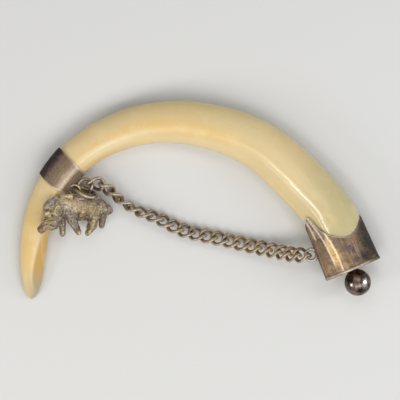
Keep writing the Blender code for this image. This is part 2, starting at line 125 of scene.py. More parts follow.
# Painted highlight: a pale line of ivory above the cap's rim; and the swell and waist of the
# tusk beyond it, each as the ends of a rise and of a fall in height
RIM_HIGHLIGHT_LINE = ((-0.0002, 0.0002), (0.0011, 0.0004))
RIM_REACH = 0.04
SWELL = ((0.0188, 0.0212), (0.0285, 0.0255))
WAIST = ((0.0262, 0.0290), (0.0480, 0.0300))
SWELL_DEPTH = 0.00030
RIM_HIGHLIGHT_COLOUR = (0.86, 0.80, 0.66)
# Colour of the painted shade at the end of the tip
TIP_SHADE_COLOUR = (0.38, 0.325, 0.225)

# End cap: its own frame and the scalloped rim (degrees round it, height above its base)
CAP_BASE = (0.0645, -0.0293)
CAP_ANGLE = math.radians(-67.0)
CAP_HALF_WIDTH_BASE = 0.01225
CAP_HALF_WIDTH_TOP = 0.01175
CAP_HALF_THICK = 0.00945
CAP_MIDDLE_Z = 0.0092
CAP_TAPER_LENGTH = 0.0200
CAP_FOLLOW = 9.0
CAP_FAN = 7.0
CAP_WALL = 0.0006
CAP_RIM = [
    (0, 0.0188), (20, 0.0176), (36, 0.0153), (52, 0.0138), (68, 0.0139), (86, 0.0162),
    (104, 0.0195), (120, 0.0227), (134, 0.0265), (147, 0.0275), (162, 0.0257), (182, 0.0210),
    (205, 0.0170), (232, 0.0141), (258, 0.0138), (285, 0.0160), (310, 0.0197), (335, 0.0215),
]
# Painted highlight lines of the cap, most standing for the lamps' reflections along its ridges,
# a few for
# rubbed streaks: (share across, millimetres above its base) from top to bottom, half width and
# strength
CAP_HIGHLIGHT_LINES = [
    ([(-0.89, 27.0), (-0.85, 21.0), (-0.83, 17.0)], 0.045, 0.75),
    ([(-0.78, 27.0), (-0.66, 20.0), (-0.60, 16.0), (-0.56, 11.0), (-0.53, 5.0)], 0.026, 1.20),
    ([(-0.47, 18.5), (-0.39, 15.0), (-0.345, 10.0), (-0.335, 6.0), (-0.35, 2.0)], 0.032, 1.20),
    ([(-0.50, 16.0), (-0.46, 9.0), (-0.44, 3.0)], 0.070, 0.16),
    ([(-0.80, 27.0), (-0.72, 20.0), (-0.70, 17.0)], 0.080, 0.30),
    ([(0.33, 13.0), (0.34, 8.0), (0.35, 3.0)], 0.022, 0.35),
    ([(-0.60, 7.0), (-0.62, 2.0)], 0.035, 0.25),
    ([(-0.88, 3.0), (-0.50, 1.6)], 0.30, 0.20),
]
# Tones of its tarnish: gold, plum, olive, rust and soot patches in the same measures, with some
# painted glints among the gold and painted shade among the soot
CAP_TONES = (
    [((-0.48, 13.0), (0.08, 5.0), 0.80), ((-0.45, 8.0), (0.10, 4.0), 0.70),
     ((-0.34, 8.5), (0.06, 2.6), 0.85), ((-0.70, 3.0), (0.20, 3.0), 0.40),
     ((-0.12, 3.2), (0.16, 2.2), 0.40), ((-0.22, 7.0), (0.08, 5.0), 0.30),
     # The last two gold patches are painted glints at the base.
     ((0.84, 1.9), (0.08, 0.6), 1.20), ((-0.36, 1.2), (0.06, 0.5), 1.20)],
    [((0.03, 9.6), (0.16, 1.6), 0.80), ((0.24, 7.4), (0.10, 2.2), 0.55),
     ((0.32, 11.0), (0.06, 2.0), 0.40), ((-0.35, 3.2), (0.05, 1.0), 0.50),
     ((0.20, 3.4), (0.16, 1.8), 0.60), ((-0.62, 5.0), (0.07, 2.4), 0.40)],
    [((-0.16, 12.6), (0.14, 2.2), 0.60), ((0.74, 6.0), (0.18, 5.0), 0.55),
     ((0.56, 8.0), (0.12, 3.0), 0.40), ((-0.78, 12.0), (0.08, 2.6), 0.45)],
    [((0.40, 11.4), (0.10, 2.4), 0.60), ((-0.13, 10.2), (0.10, 1.6), 0.45),
     ((-0.02, 5.6), (0.15, 1.6), 0.50), ((-0.36, 4.2), (0.05, 1.8), 0.85),
     ((-0.82, 7.0), (0.05, 3.2), 0.75), ((0.12, 6.2), (0.06, 1.0), 0.35)],
    # Soot: the first two patches are painted shade down the outer side and along the far left
    # edge; the rest are tarnish.
    [((1.00, 10.0), (0.52, 18.0), 0.95), ((-1.02, 10.0), (0.07, 10.0), 0.60),
     ((0.24, 8.2), (0.07, 1.4), 0.50), ((0.22, 3.8), (0.09, 1.4), 0.40),
     ((0.52, 3.4), (0.20, 2.6), 0.50), ((-0.72, 12.5), (0.06, 2.0), 0.35)],
)
GAP = 0.0003
PLATE_THICK = 0.0014
PLATE_LIP = 0.0002
BALL_NECK_RADIUS = 0.0024
BALL_REACH = 0.00575
BALL_SIDE_SHIFT = -0.0004
CAP_SIDES = 168
CAP_ROWS = 46
CAP_INNER_ROWS = 12
CAP_DENT = 0.00003
LAY_HEIGHT = 0.02
# Where the finish of the silver fades from its hidden underside to its seen side
SEEN = (-0.60, -0.02)
PLATE_ROUNDING = 0.00035
PLATE_ROWS = 8
PLATE_FACE = -0.0030
BALL_RADIUS = 0.0056
BALL_ROWS = 40
BALL_STEPS = 72
BALL_MERGE = 0.00001
# Painted highlights of the ball, where the lamps reflect, as shares of its radius; and its dark,
# brown and cool tones and the colour of its painted highlights
BALL_HIGHLIGHTS = [((0.52, 0.00), (0.17, 0.46), 1.00), ((-0.52, -0.14), (0.13, 0.13), 0.80)]
BALL_TONES = ((0.055, 0.038, 0.030), (0.30, 0.22, 0.175), (0.20, 0.195, 0.22),
              (0.80, 0.77, 0.76))
# Colour of the painted highlight where it crosses rust
RUST_SHINE = (0.86, 0.42, 0.30)

# Band round the thin end
BAND_STARTS_AT = (-0.0535, 0.0164)
BAND_LENGTH = 0.0118
BAND_BOW = 0.0020
BAND_WALL = 0.0007
BAND_SIDES = 120
BAND_ROWS = 30
BAND_INNER_ROWS = 10
BAND_ROLL = 0.012
BAND_EDGE = 0.00008

# Soldered rings: centre, mean radius and wire radius
CAP_RING = ((0.0469, -0.0232, 0.0095), 0.0024, 0.00075)
BAND_RING = ((-0.0526, 0.0042, 0.0073), 0.0022, 0.00056)
BAND_RING_TILT = math.radians(26.0)
RING_STEPS = 56
RING_SIDES = 16
RING_MERGE = 0.000005

# Chain: the links' middle line, and the route of their centres (x, y, z, roll in degrees)
LINK_COUNT = 22
LINK_HALF_LENGTH = 0.0034
LINK_HALF_WIDTH = 0.0029
LINK_TWIST = (math.radians(-48.0), math.radians(-72.0))
CHAIN_PITCH = 0.00517
CHAIN_PITCH_RIGHT = 0.0044
CHAIN_SLACK_FROM = 14
CHAIN_ROUTE = [
    (-0.0484, 0.0057, 0.0053, -157),
    (-0.0437, 0.0067, 0.0062, -134),
    (-0.0390, 0.0047, 0.0056, -117),
    (-0.0346, 0.0010, 0.0049, -101),
    (-0.0307, -0.0021, 0.0043, -87),
    (-0.0269, -0.0043, 0.0040, -75),
    (-0.0232, -0.0058, 0.0038, -66),
    (-0.0187, -0.0074, 0.0036, -58),
    (-0.0137, -0.0097, 0.0034, -49),
    (-0.0091, -0.0120, 0.0032, -44),
    (-0.0040, -0.0137, 0.0032, -41),
    (0.0056, -0.0158, 0.0032, -39),
    (0.0153, -0.0180, 0.0033, -38),
    (0.0241, -0.0200, 0.0038, -38),
    (0.0332, -0.0220, 0.0060, -36),
    (0.0395, -0.0231, 0.0086, -36),
    (0.0431, -0.0233, 0.0095, -38),
]

# Long ring of the charm
CHARM_RING_CENTRE = (-0.0481, 0.0032, 0.0061)
CHARM_RING_HALF_LENGTH = 0.0045
CHARM_RING_HALF_WIDTH = 0.0028
CHARM_RING_WIRE = 0.00082
CHARM_RING_ANGLES = (math.radians(-60.0), math.radians(2.0), math.radians(-23.0))

# Boar charm, drawn in the plane of its own flank: x towards the rump, y towards the back.
# Lumps are (centre, radii, turn in degrees); limbs are (start, end, start and end radius).
CHARM_PIVOT = (-0.0430, -0.0050, 0.0044)
CHARM_TILT = math.radians(20.5)
CHARM_LUMPS = [
    ((0.0040, 0.0008, 0.0), (0.0022, 0.0024, 0.0024), 0),
    ((0.0006, 0.0011, 0.0), (0.0041, 0.0041, 0.0040), 0),
    ((-0.0036, 0.0005, 0.0), (0.0048, 0.0045, 0.0042), 0),
    ((-0.0077, 0.0007, 0.0), (0.0050, 0.0046, 0.0040), 0),
    ((-0.0119, 0.0010, 0.0003), (0.0050, 0.0049, 0.0040), 0),
    ((-0.0154, 0.0021, 0.0024), (0.0038, 0.0044, 0.0032), 20),
    ((-0.0209, 0.0000, 0.0034), (0.0042, 0.0055, 0.0026), 16),
    ((-0.0206, -0.0048, 0.0036), (0.0036, 0.0026, 0.0023), 40),
    ((-0.0026, -0.0012, 0.0020), (0.0031, 0.0038, 0.0024), -10),
    ((-0.0122, -0.0010, 0.0026), (0.0030, 0.0044, 0.0020), 15),
]
CHARM_LIMBS = [
    ((-0.0218, -0.0036, 0.0034), (-0.0256, -0.0073, 0.0028), 0.0025, 0.0017),
    ((-0.0202, -0.0046, 0.0036), (-0.0210, -0.0064, 0.0034), 0.0020, 0.0013),
    ((-0.0122, -0.0032, 0.0022), (-0.0092, -0.0087, 0.0026), 0.0021, 0.0012),
    ((-0.0152, -0.0030, -0.0016), (-0.0148, -0.0093, -0.0020), 0.0015, 0.0012),
    ((-0.0030, -0.0034, 0.0022), (-0.0026, -0.0058, 0.0024), 0.0022, 0.0016),
    ((-0.0026, -0.0058, 0.0024), (-0.0052, -0.0090, 0.0024), 0.0016, 0.0012),
    ((-0.0010, -0.0024, -0.0012), (-0.0034, -0.0065, -0.0012), 0.0015, 0.0012),
    ((0.0028, -0.0008, -0.0006), (0.0021, -0.0060, -0.0008), 0.0016, 0.0012),
]
EYELET_CENTRE = (-0.0439, 0.0013, 0.0052)
EYELET_RADIUS = 0.00128
EYELET_WIRE = 0.00038
EYELET_STEPS = 40
EYELET_SIDES = 14
# Small forms of the boar, added before the skin is melted: ears, brows, snout disc, mane, tail
CHARM_DETAILS = [
    ((-0.0197, 0.0003, 0.0058), (0.0021, 0.0024, 0.0010), -30),
    ((-0.0218, 0.0042, 0.0046), (0.0012, 0.0032, 0.0012), -50),
    ((-0.0238, -0.0004, 0.0052), (0.0015, 0.0013, 0.0012), 30),
    ((-0.0246, -0.0040, 0.0046), (0.0018, 0.0010, 0.0011), 30),
    ((-0.0263, -0.0079, 0.0028), (0.0008, 0.0017, 0.0016), 43),
    ((-0.0036, 0.0043, 0.0006), (0.0042, 0.0010, 0.0010), -4),
    ((-0.0100, 0.0049, 0.0006), (0.0042, 0.0010, 0.0011), 2),
    ((-0.0150, 0.0059, 0.0022), (0.0036, 0.0014, 0.0014), 8),
    ((0.0054, 0.0004, 0.0004), (0.0012, 0.0014, 0.0014), 0),
    ((-0.0009, 0.0051, 0.0006), (0.0009, 0.0011, 0.0008), 0),
]
# Grooves: points (x, y) on the flank, half width, depth and darkness
CHARM_CUTS = [
    ([(-0.0250, -0.0042), (-0.0232, -0.0036), (-0.0206, -0.0034)], 0.00020, 0.00030, 0.65),
    ([(-0.0172, 0.0034), (-0.0169, 0.0006), (-0.0175, -0.0020)], 0.00040, 0.00020, 0.35),
    ([(-0.0222, 0.0018), (-0.0226, 0.0002), (-0.0218, -0.0014)], 0.00026, 0.00022, 0.6),
    ([(-0.0160, 0.0020), (-0.0152, -0.0008), (-0.0158, -0.0034)], 0.00045, 0.00025, 0.4),
    ([(-0.0094, 0.0016), (-0.0088, -0.0014), (-0.0098, -0.0040)], 0.00060, 0.00028, 0.4),
    ([(-0.0052, 0.0014), (-0.0058, -0.0012), (-0.0046, -0.0036)], 0.00055, 0.00026, 0.4),
    ([(-0.0008, 0.0036), (0.0002, 0.0012), (-0.0002, -0.0012)], 0.00045, 0.00022, 0.4),
    ([(-0.0224, -0.0014), (-0.0218, -0.0018)], 0.00028, 0.00030, 0.8),
    ([(-0.0240, -0.0022), (-0.0262, -0.0050)], 0.00026, 0.00016, 0.4),
]
CHARM_FEET = [(-0.0092, -0.0088), (-0.0148, -0.0094), (-0.0052, -0.0091), (-0.0034, -0.0066)]
# Ears: centre, radii and turn of the cup
CHARM_EARS = [((-0.0193, 0.0004), (0.0017, 0.0022), -20.0),
              ((-0.0216, 0.0041), (0.0015, 0.0031), -48.0)]
HOOF_RADII = (0.0016, 0.0014)
# Patches of its patina: centre, radii and strength. The two long chalk patches along the top of
# the back are painted light, the back made lighter as if lit from above.
CHARM_CHALK_AND_LIGHT = [((-0.0115, 0.0040), (0.0080, 0.0026), 0.50),
               ((0.0022, 0.0016), (0.0034, 0.0034), 0.30),
               ((-0.0118, 0.0005), (0.0034, 0.0034), 0.35),
               ((-0.0145, 0.0060), (0.0062, 0.0018), 0.60),
               ((-0.0236, -0.0010), (0.0018, 0.0016), 0.55)]
CHARM_OCHRE = [((-0.0150, 0.0054), (0.0054, 0.0016), 1.0),
               ((-0.0061, 0.0003), (0.0056, 0.0032), 1.0),
               ((-0.0230, -0.0004), (0.0030, 0.0030), 0.8),
               ((-0.0240, -0.0050), (0.0034, 0.0026), 0.8),
               ((-0.0022, -0.0060), (0.0050, 0.0040), 0.8)]
CHARM_GREEN = [((-0.0034, -0.0036), (0.0030, 0.0030), 0.5)]
CHARM_ROSY = [((-0.0263, -0.0078), (0.0019, 0.0025), 1.3)]
CHARM_SMOOTHINGS = 5

# Lights, all aimed at the origin: name, place, size, watts and colour
LIGHTS = [
    ("front", (0.20, -0.62, 0.98), (1.30, 0.60), 8.0, (1.0, 0.98, 0.95)),
    ("high_left", (-0.355, -0.232, 0.97), (0.34, 0.045), 0.75, (1.0, 0.98, 0.95)),
    ("left", (-0.524, -0.353, 0.34), (0.14, 0.22), 1.0, (1.0, 0.96, 0.90)),
    ("right", (0.62, 0.02, 0.34), (0.14, 0.30), 1.0, (0.97, 0.98, 1.0)),
    ("soft_back", (0.0, 0.40, 1.00), (0.90, 0.40), 1.6, (1.0, 1.0, 1.0)),
]
SKY_COLOUR = (0.95, 0.97, 1.0, 1.0)
SKY_STRENGTH = 0.32
SENSOR_WIDTH = 36.0
CAMERA_PLACE = (0.00017, -0.00013)
SHARP_HEIGHT = 0.009

# Sockets of a Mix node that mixes colours
MIX_FACTOR, MIX_FIRST, MIX_SECOND, MIX_RESULT = 0, 6, 7, 2


# Settings


def number_setting(name, words, default, low, high, **kind):
    """A number that can be changed, between two limits."""
    return bpy.props.FloatProperty(name=name, description=words, default=default, min=low,
                                   max=high, **kind)


def colour_setting(name, words, default):
    """A colour property of a finish."""
    return bpy.props.FloatVectorProperty(name=name, description=words, default=default,
                                         subtype="COLOR", size=3, min=0.0, max=1.0)


class IvorySettings(bpy.types.PropertyGroup):
    """Colours and polish of the tusk."""
    cream: colour_setting("Cream", "Main colour of the ivory", (0.74, 0.575, 0.295))
    amber: colour_setting("Amber", "Warm colour of the yellowed zones", (0.76, 0.53, 0.21))
    # Pale also paints a broad highlight on the inner side.
    pale: colour_setting("Pale", "Colour of the polished, paler zones", (0.80, 0.66, 0.40))
    grey: colour_setting("Grey", "Greenish grey colour near the cap", (0.52, 0.462, 0.245))
    worn: colour_setting("Worn", "Golden colour of the worn facet", (0.52, 0.30, 0.065))
    stain: colour_setting("Stain", "Colour in the cracks", (0.36, 0.22, 0.08))
    polish: number_setting("Polish", "Roughness of the ivory", 0.30, 0.05, 1.0,
                           subtype="FACTOR")


class SilverSettings(bpy.types.PropertyGroup):
    """Colours of the tarnished mounts."""
    # Bright also colours the painted highlight lines.
    bright: colour_setting("Bright", "Colour where the tarnish is rubbed off",
                           (0.86, 0.74, 0.60))
    brown: colour_setting("Brown", "Main colour of the tarnish", (0.20, 0.135, 0.09))
    worn: colour_setting("Worn", "Lighter streaks of the tarnish", (0.48, 0.36, 0.24))
    # Gold also colours a few painted glints on the cap and the plate.
    gold: colour_setting("Gold", "Yellow bloom of the tarnish", (0.72, 0.50, 0.22))
    plum: colour_setting("Plum", "Purple bloom of the tarnish", (0.17, 0.10, 0.14))
    olive: colour_setting("Olive", "Greenish bloom of the tarnish", (0.20, 0.18, 0.12))
    rust: colour_setting("Rust", "Red-brown bloom of the tarnish", (0.40, 0.18, 0.09))
    # Soot also paints the shade on the mounts' darker sides.
    soot_and_shade: colour_setting("Soot", "Darkest tarnish", (0.030, 0.023, 0.020))


class ChainSettings(bpy.types.PropertyGroup):
    """Wire of the chain and colours of its silver."""
    wire: number_setting("Wire", "Radius of the links' wire", 0.00078, 0.0003, 0.0009,
                         unit="LENGTH")
    worn: colour_setting("Worn", "Colour of the wire's worn faces", (0.52, 0.425, 0.325))
    gold: colour_setting("Gold", "Yellow bloom of the wire", (0.46, 0.345, 0.17))
    pale: colour_setting("Pale", "Greyer silver of the cap's ring", (0.56, 0.51, 0.46))
    dull: colour_setting("Dull", "Colour between the links", (0.17, 0.125, 0.085))


class CharmSettings(bpy.types.PropertyGroup):
    """Detail and colours of the cast boar."""
    grain: number_setting("Grain", "Size of the charm's mesh faces", 0.00019, 0.0001, 0.0005,
                          unit="LENGTH")
    bristle: number_setting("Bristle", "Depth of the cast bristles", 0.00034, 0.0, 0.0004,
                            unit="LENGTH")
    lilac: colour_setting("Lilac", "Grey-lilac of the back and shoulder",
                          (0.44, 0.355, 0.275))
    ochre: colour_setting("Ochre", "Ochre of the neck and flank", (0.52, 0.385, 0.18))
    # Chalk also paints the light along the top of the back.
    chalk: colour_setting("Chalk", "Rubbed, pale high spots", (0.76, 0.61, 0.40))
    moss: colour_setting("Moss", "Greenish colour round the near ear", (0.33, 0.33, 0.13))
    slate: colour_setting("Slate", "Grey-blue of the far ear", (0.20, 0.185, 0.195))
    rosy: colour_setting("Rosy", "Red-brown of the snout", (0.36, 0.20, 0.13))
    # Umber also paints the shade over the lower body.
    umber: colour_setting("Umber", "Dark colour of the hollows", (0.055, 0.042, 0.030))


class StageSettings(bpy.types.PropertyGroup):
    """Camera distance, frame width and floor colour of the stage."""
    camera_height: number_setting("Camera height", "Height of the camera", 1.5, 0.5, 5.0,
                                  unit="LENGTH")
    frame_width: number_setting("Frame width", "Width that the frame covers", 0.168, 0.1, 1.0,
                                unit="LENGTH")
    floor_colour: colour_setting("Floor", "Colour of the floor", (0.70, 0.70, 0.69))


SETTINGS = {
    "ivory": IvorySettings,
    "silver": SilverSettings,
    "chain": ChainSettings,
    "charm": CharmSettings,
    "stage": StageSettings,
}


def settings(name):
    """The scene's settings of one group."""
    return getattr(bpy.context.scene, f"tusk_{name}")


# Shader maths


class Value:
    """A number that changes over a surface, with the sums that take part in it."""

    def __init__(self, shades, socket):
        self.shades = shades
        self.socket = socket

    def sum(self, operation, left, right):
        """One Math node."""
        return self.shades.node("ShaderNodeMath", {"operation": operation},
                                {0: left, 1: right})

    def __add__(self, other):
        return self.sum("ADD", self, other)

    def __radd__(self, other):
        return self.sum("ADD", other, self)

    def __sub__(self, other):
        return self.sum("SUBTRACT", self, other)

    def __rsub__(self, other):
        return self.sum("SUBTRACT", other, self)

    def __mul__(self, other):
        return self.sum("MULTIPLY", self, other)

    def __rmul__(self, other):
        return self.sum("MULTIPLY", other, self)


class Shades:
    """The node tree of one material, with its surface shader and the colour so far."""

    def __init__(self, name, base):
        self.material = bpy.data.materials.new(name)
        self.material.use_nodes = True
        self.tree = self.material.node_tree
        self.surface = self.tree.nodes["Principled BSDF"]
        self.colour = base

    def put(self, socket, value):
        """Link a value to a socket, or set the socket's own number or colour."""
        if isinstance(value, Value):
            self.tree.links.new(value.socket, socket)
        else:
            socket.default_value = (*value, 1.0) if socket.type == "RGBA" else value

    def node(self, kind, choices=None, inputs=None, output=0):
        """Add a node: its settings first, then its sockets; give one output."""
        made = self.tree.nodes.new(kind)
        for name, choice in (choices or {}).items():
            setattr(made, name, choice)
        for name, value in (inputs or {}).items():
            self.put(made.inputs[name], value)
        return Value(self, made.outputs[output])

    def finish(self, **sockets):
        """Set the surface's colour and its other sockets, named with _ for a space."""
        sockets["Base_Color"] = self.colour
        for name, value in sockets.items():
            self.put(self.surface.inputs[name.replace("_", " ")], value)
        return self.material

    def place(self):
        """Coordinates of the object."""
        return self.node("ShaderNodeTexCoord", output="Object")

    def lay(self):
        """The piece's own vector attribute, which follows its surface."""
        return self.node("ShaderNodeAttribute", {"attribute_name": "lay"}, output="Vector")

    def number(self, name):
        """The piece's own number attribute."""
        return self.node("ShaderNodeAttribute", {"attribute_name": name}, output="Fac")

    def parts(self, vector):
        """The three numbers of a vector."""
        split = self.node("ShaderNodeSeparateXYZ", None, {0: vector})
        return [Value(self, socket) for socket in split.socket.node.outputs]

    def vector(self, operation, left, right):
        """One Vector Math node."""
        return self.node("ShaderNodeVectorMath", {"operation": operation},
                         {0: left, 1: right}, "Vector")

    def cloud(self, vector, scale, detail=4.0, rough=0.5, bend=0.0):
        """Noise between 0 and 1."""
        return self.node("ShaderNodeTexNoise", {"noise_dimensions": "3D"},
                         {"Vector": vector, "Scale": scale, "Detail": detail,
                          "Roughness": rough, "Distortion": bend}, "Fac")

    def edges(self, vector):
        """Distance to the edges of a cell pattern."""
        return self.node("ShaderNodeTexVoronoi", {"feature": "DISTANCE_TO_EDGE"},
                         {"Vector": vector, "Scale": 1.0}, "Distance")

    def step(self, value, low, high, to_low=0.0, to_high=1.0):
        """A smooth step between two numbers."""
        return self.node("ShaderNodeMapRange", {"interpolation_type": "SMOOTHSTEP"},
                         {"Value": value, "From Min": low, "From Max": high,
                          "To Min": to_low, "To Max": to_high}, "Result")

    def blend(self, share, first, second):
        """Two colours mixed by a share."""
        return self.node("ShaderNodeMix", {"data_type": "RGBA"},
                         {MIX_FACTOR: share, MIX_FIRST: first, MIX_SECOND: second},
                         MIX_RESULT)

    def cover(self, share, shade):
        """Lay a shade over the colour so far, by a share."""
        self.colour = self.blend(share, self.colour, shade)

    def stain(self, much, value, low, high, shade):
        """Lay a shade where a value passes from low to high, at most by so much."""
        self.cover(much * self.step(value, low, high), shade)

    def bump(self, height, distance, strength=1.0):
        """A normal from a height."""
        return self.node("ShaderNodeBump", None,
                         {"Height": height, "Distance": distance, "Strength": strength})


def tone(colour, factor):
    """A colour made lighter or darker."""
    return tuple(min(1.0, c * factor) for c in colour)


def ivory_material():
    """Polished ivory: soft warm, pale and grey tones, faint growth lines and hairlines; painted
    highlight in a pale zone on the inner side and in a line above the cap's rim, and painted
    shade on the inner edge and at the tip.
    """
    own = settings("ivory")
    shades = Shades("polished_ivory", own.cream)
    lay, place = shades.lay(), shades.place()
    along, across = shades.parts(lay)[:2]

    swing = 0.5 * (shades.cloud(place, 38.0, 3.0, 0.5) - 0.5)
    for name, much in (("amber", 1.0), ("pale", 1.0), ("grey", 0.8)):
        shades.stain(much, shades.number(name) + swing, 0.0, 1.0, getattr(own, name))
    mottle = shades.cloud(place, 120.0, 4.0, 0.55)
    shades.stain(0.42, mottle, 0.46, 0.70, tone(own.cream, 1.12))
    lines = shades.cloud(shades.vector("MULTIPLY", lay, (4.0, 30.0, 30.0)), 1.2, 5.0, 0.65)
    shades.stain(0.20, lines, 0.50, 0.72, tone(own.amber, 0.80))
    shades.stain(0.25, shades.cloud(place, 420.0, 3.0, 0.6, 0.8), 0.70, 0.80, own.stain)

    wavy = shades.cloud(place, 90.0, 3.0, 0.6)
    net = shades.vector("ADD", shades.vector("MULTIPLY", lay, (30.0, 1.1, 1.1)),
                        shades.vector("MULTIPLY", place, (30.0, 30.0, 30.0)))
    crack = (shades.step(shades.edges(net) + 0.03 * (wavy - 0.5), 0.010, 0.002)
             * shades.step(shades.cloud(place, 40.0, 2.0, 0.5), 0.60, 0.70))
    shades.cover(0.22 * crack, own.stain)

    # Painted highlight: a pale line along the ivory's edge just above the cap's rim.
    shades.cover(0.55 * shades.number("rim_highlight"), RIM_HIGHLIGHT_COLOUR)
    # Painted shade: darker amber along the inner edge of the far half, where no light is thrown
    # back from below.
    inner = shades.step(across, -0.60, -0.95) * shades.step(along, 0.50, 0.70)
    shades.cover(0.45 * inner, tone(own.amber, 0.62))
    wear = shades.number("wear")
    shades.cover(0.88 * wear, own.worn)
    # Painted shade: the end of the tip darkened, most on its inner side, where its lower face
    # turns from the light.
    tip_shade = shades.step(along, 0.925, 0.985) * shades.step(across, 0.9, -0.6, 0.35, 1.0)
    shades.cover(0.85 * tip_shade, TIP_SHADE_COLOUR)

    coat = (0.10 + 0.30 * shades.step(along, 0.28, 0.20)
            + 0.25 * shades.number("pale") * shades.step(across, -0.30, -0.50))
    height = 0.5 * mottle + 0.5 * lines - 0.6 * crack
    rough = (own.polish + 0.14 * shades.step(along, 0.24, 0.38) + 0.12 * (mottle - 0.5)
             + 0.25 * crack + 0.05 * wear)
    return shades.finish(Roughness=rough, Specular_IOR_Level=0.5, Coat_Weight=coat,
                         Coat_Roughness=0.035, Subsurface_Weight=0.10,
                         Subsurface_Radius=(0.9, 0.6, 0.3), Subsurface_Scale=0.0015,
                         Normal=shades.bump(height, 0.00004, 0.35))


def silver_material(name, streak, calm=0.0):
    """Tarnished silver: rubbed edges and painted highlight lines, gold, plum, olive and rust
    patches, and sooty patches that also paint shade on the darker sides.
    """
    own = settings("silver")
    shades = Shades(name, own.brown)
    place = shades.place()
    bloom = shades.cloud(place, 260.0, 5.0, 0.62, 0.6)
    drawn = shades.vector("MULTIPLY", shades.lay(), (streak, 12.0, 12.0))
    streaks = shades.cloud(drawn, 1.5, 5.0, 0.65, 0.3)
    fine = shades.cloud(place, 900.0, 4.0, 0.6)
    swing = (1.2 - calm) * (bloom - 0.5) + 0.5 * (fine - 0.5)
    worn = shades.step(streaks + 0.7 * swing, 0.30, 0.85)
    shades.cover(0.5 * calm + (1.0 - calm) * worn, own.worn)
    rub_and_sheen, soot_and_shade, gold, plum, olive, rust = (shades.number(kind) for kind in (
        "rub_and_sheen", "soot_and_shade", "gold", "plum", "olive", "rust"))
    for much, shade in ((gold, own.gold), (plum, own.plum), (olive, own.olive),
                        (rust, own.rust)):
        shades.stain(0.9, much * (1.0 + 2.2 * swing) + 0.3 * swing, 0.10, 0.90, shade)
    shine = shades.blend(gold, own.bright, tone(own.gold, 1.45))
    shine = shades.blend(0.8 * rust, shine, RUST_SHINE)
    # Painted highlight: the shine laid along the painted highlight lines, and on the rubbed
    # edges.
    shades.stain(0.9, rub_and_sheen + 0.4 * swing, 0.10, 0.8, shine)
    # Soot: dark tarnish, and painted shade on the mounts' darker sides and undersides.
    shades.stain(0.92, soot_and_shade + 0.8 * swing, 0.10, 0.95, own.soot_and_shade)
    spots = shades.cloud(place, 1300.0, 4.0, 0.65)
    shades.stain(0.5 + 0.4 * soot_and_shade, spots, 0.54, 0.68, own.soot_and_shade)
    shades.stain(0.14 * soot_and_shade, spots, 0.46, 0.28, own.worn)

    # Less metal on the painted highlight lines, so that they look bright from every side, and on
    # the painted shade.
    rough = (0.34 + 0.20 * calm) + 0.20 * bloom + 0.12 * fine - 0.10 * rub_and_sheen + 0.15 * soot_and_shade
    return shades.finish(Roughness=rough, Metallic=0.94 - 0.50 * rub_and_sheen - 0.30 * soot_and_shade,
                         Normal=shades.bump(0.5 * fine + 0.5 * streaks, 0.00006, 0.6))


def ball_material():
    """The polished ball: dark brown tarnish with pinkish and bluish patches, and painted
    highlights where the lamps reflect.
    """
    dark, brown, cool, painted_highlight = BALL_TONES
    shades = Shades("polished_ball", dark)
    place = shades.place()
    patchy = shades.cloud(place, 300.0, 4.0, 0.6, 0.5)
    shades.stain(1.0, patchy, 0.40, 0.66, brown)
    shades.stain(0.5, shades.cloud(place, 200.0, 3.0, 0.5), 0.50, 0.64, cool)
    fine = shades.cloud(place, 900.0, 4.0, 0.6)
    # Painted highlight: a pale colour where the lamps reflect on the ball.
    shades.stain(0.9, shades.number("painted_highlight") + 1.4 * (fine - 0.5), 0.15, 0.80, painted_highlight)
    shades.stain(0.6, fine, 0.56, 0.72, settings("silver").soot_and_shade)
    return shades.finish(Roughness=0.16 + 0.20 * patchy + 0.10 * fine, Metallic=1.0,
                         Normal=shades.bump(fine, 0.00005, 0.5))


def wire_material():
    """Worn silver wire, dull and dark between the links."""
    own = settings("chain")
    shades = Shades("chain_silver_wire", own.dull)
    place = shades.place()
    rub_and_sheen, tint = shades.number("rub_and_sheen"), shades.number("tint")
    shades.stain(1.0, shades.cloud(place, 420.0, 4.0, 0.6) + 0.5 * rub_and_sheen, 0.45, 1.05, own.worn)
    gold = shades.cloud(place, 150.0, 2.0, 0.5) + 0.16 * tint
    shades.stain(0.5, gold, 0.50, 0.66, own.gold)
    shades.stain(0.5, tint, -0.2, -1.0, own.pale)
    fine = shades.cloud(place, 1500.0, 4.0, 0.6)
    shades.stain(0.6, fine, 0.52, 0.70, tone(own.dull, 0.4))
    return shades.finish(Roughness=0.44 - 0.10 * rub_and_sheen + 0.24 * (fine - 0.5), Metallic=0.80,
                         Normal=shades.bump(fine, 0.00004, 0.5))


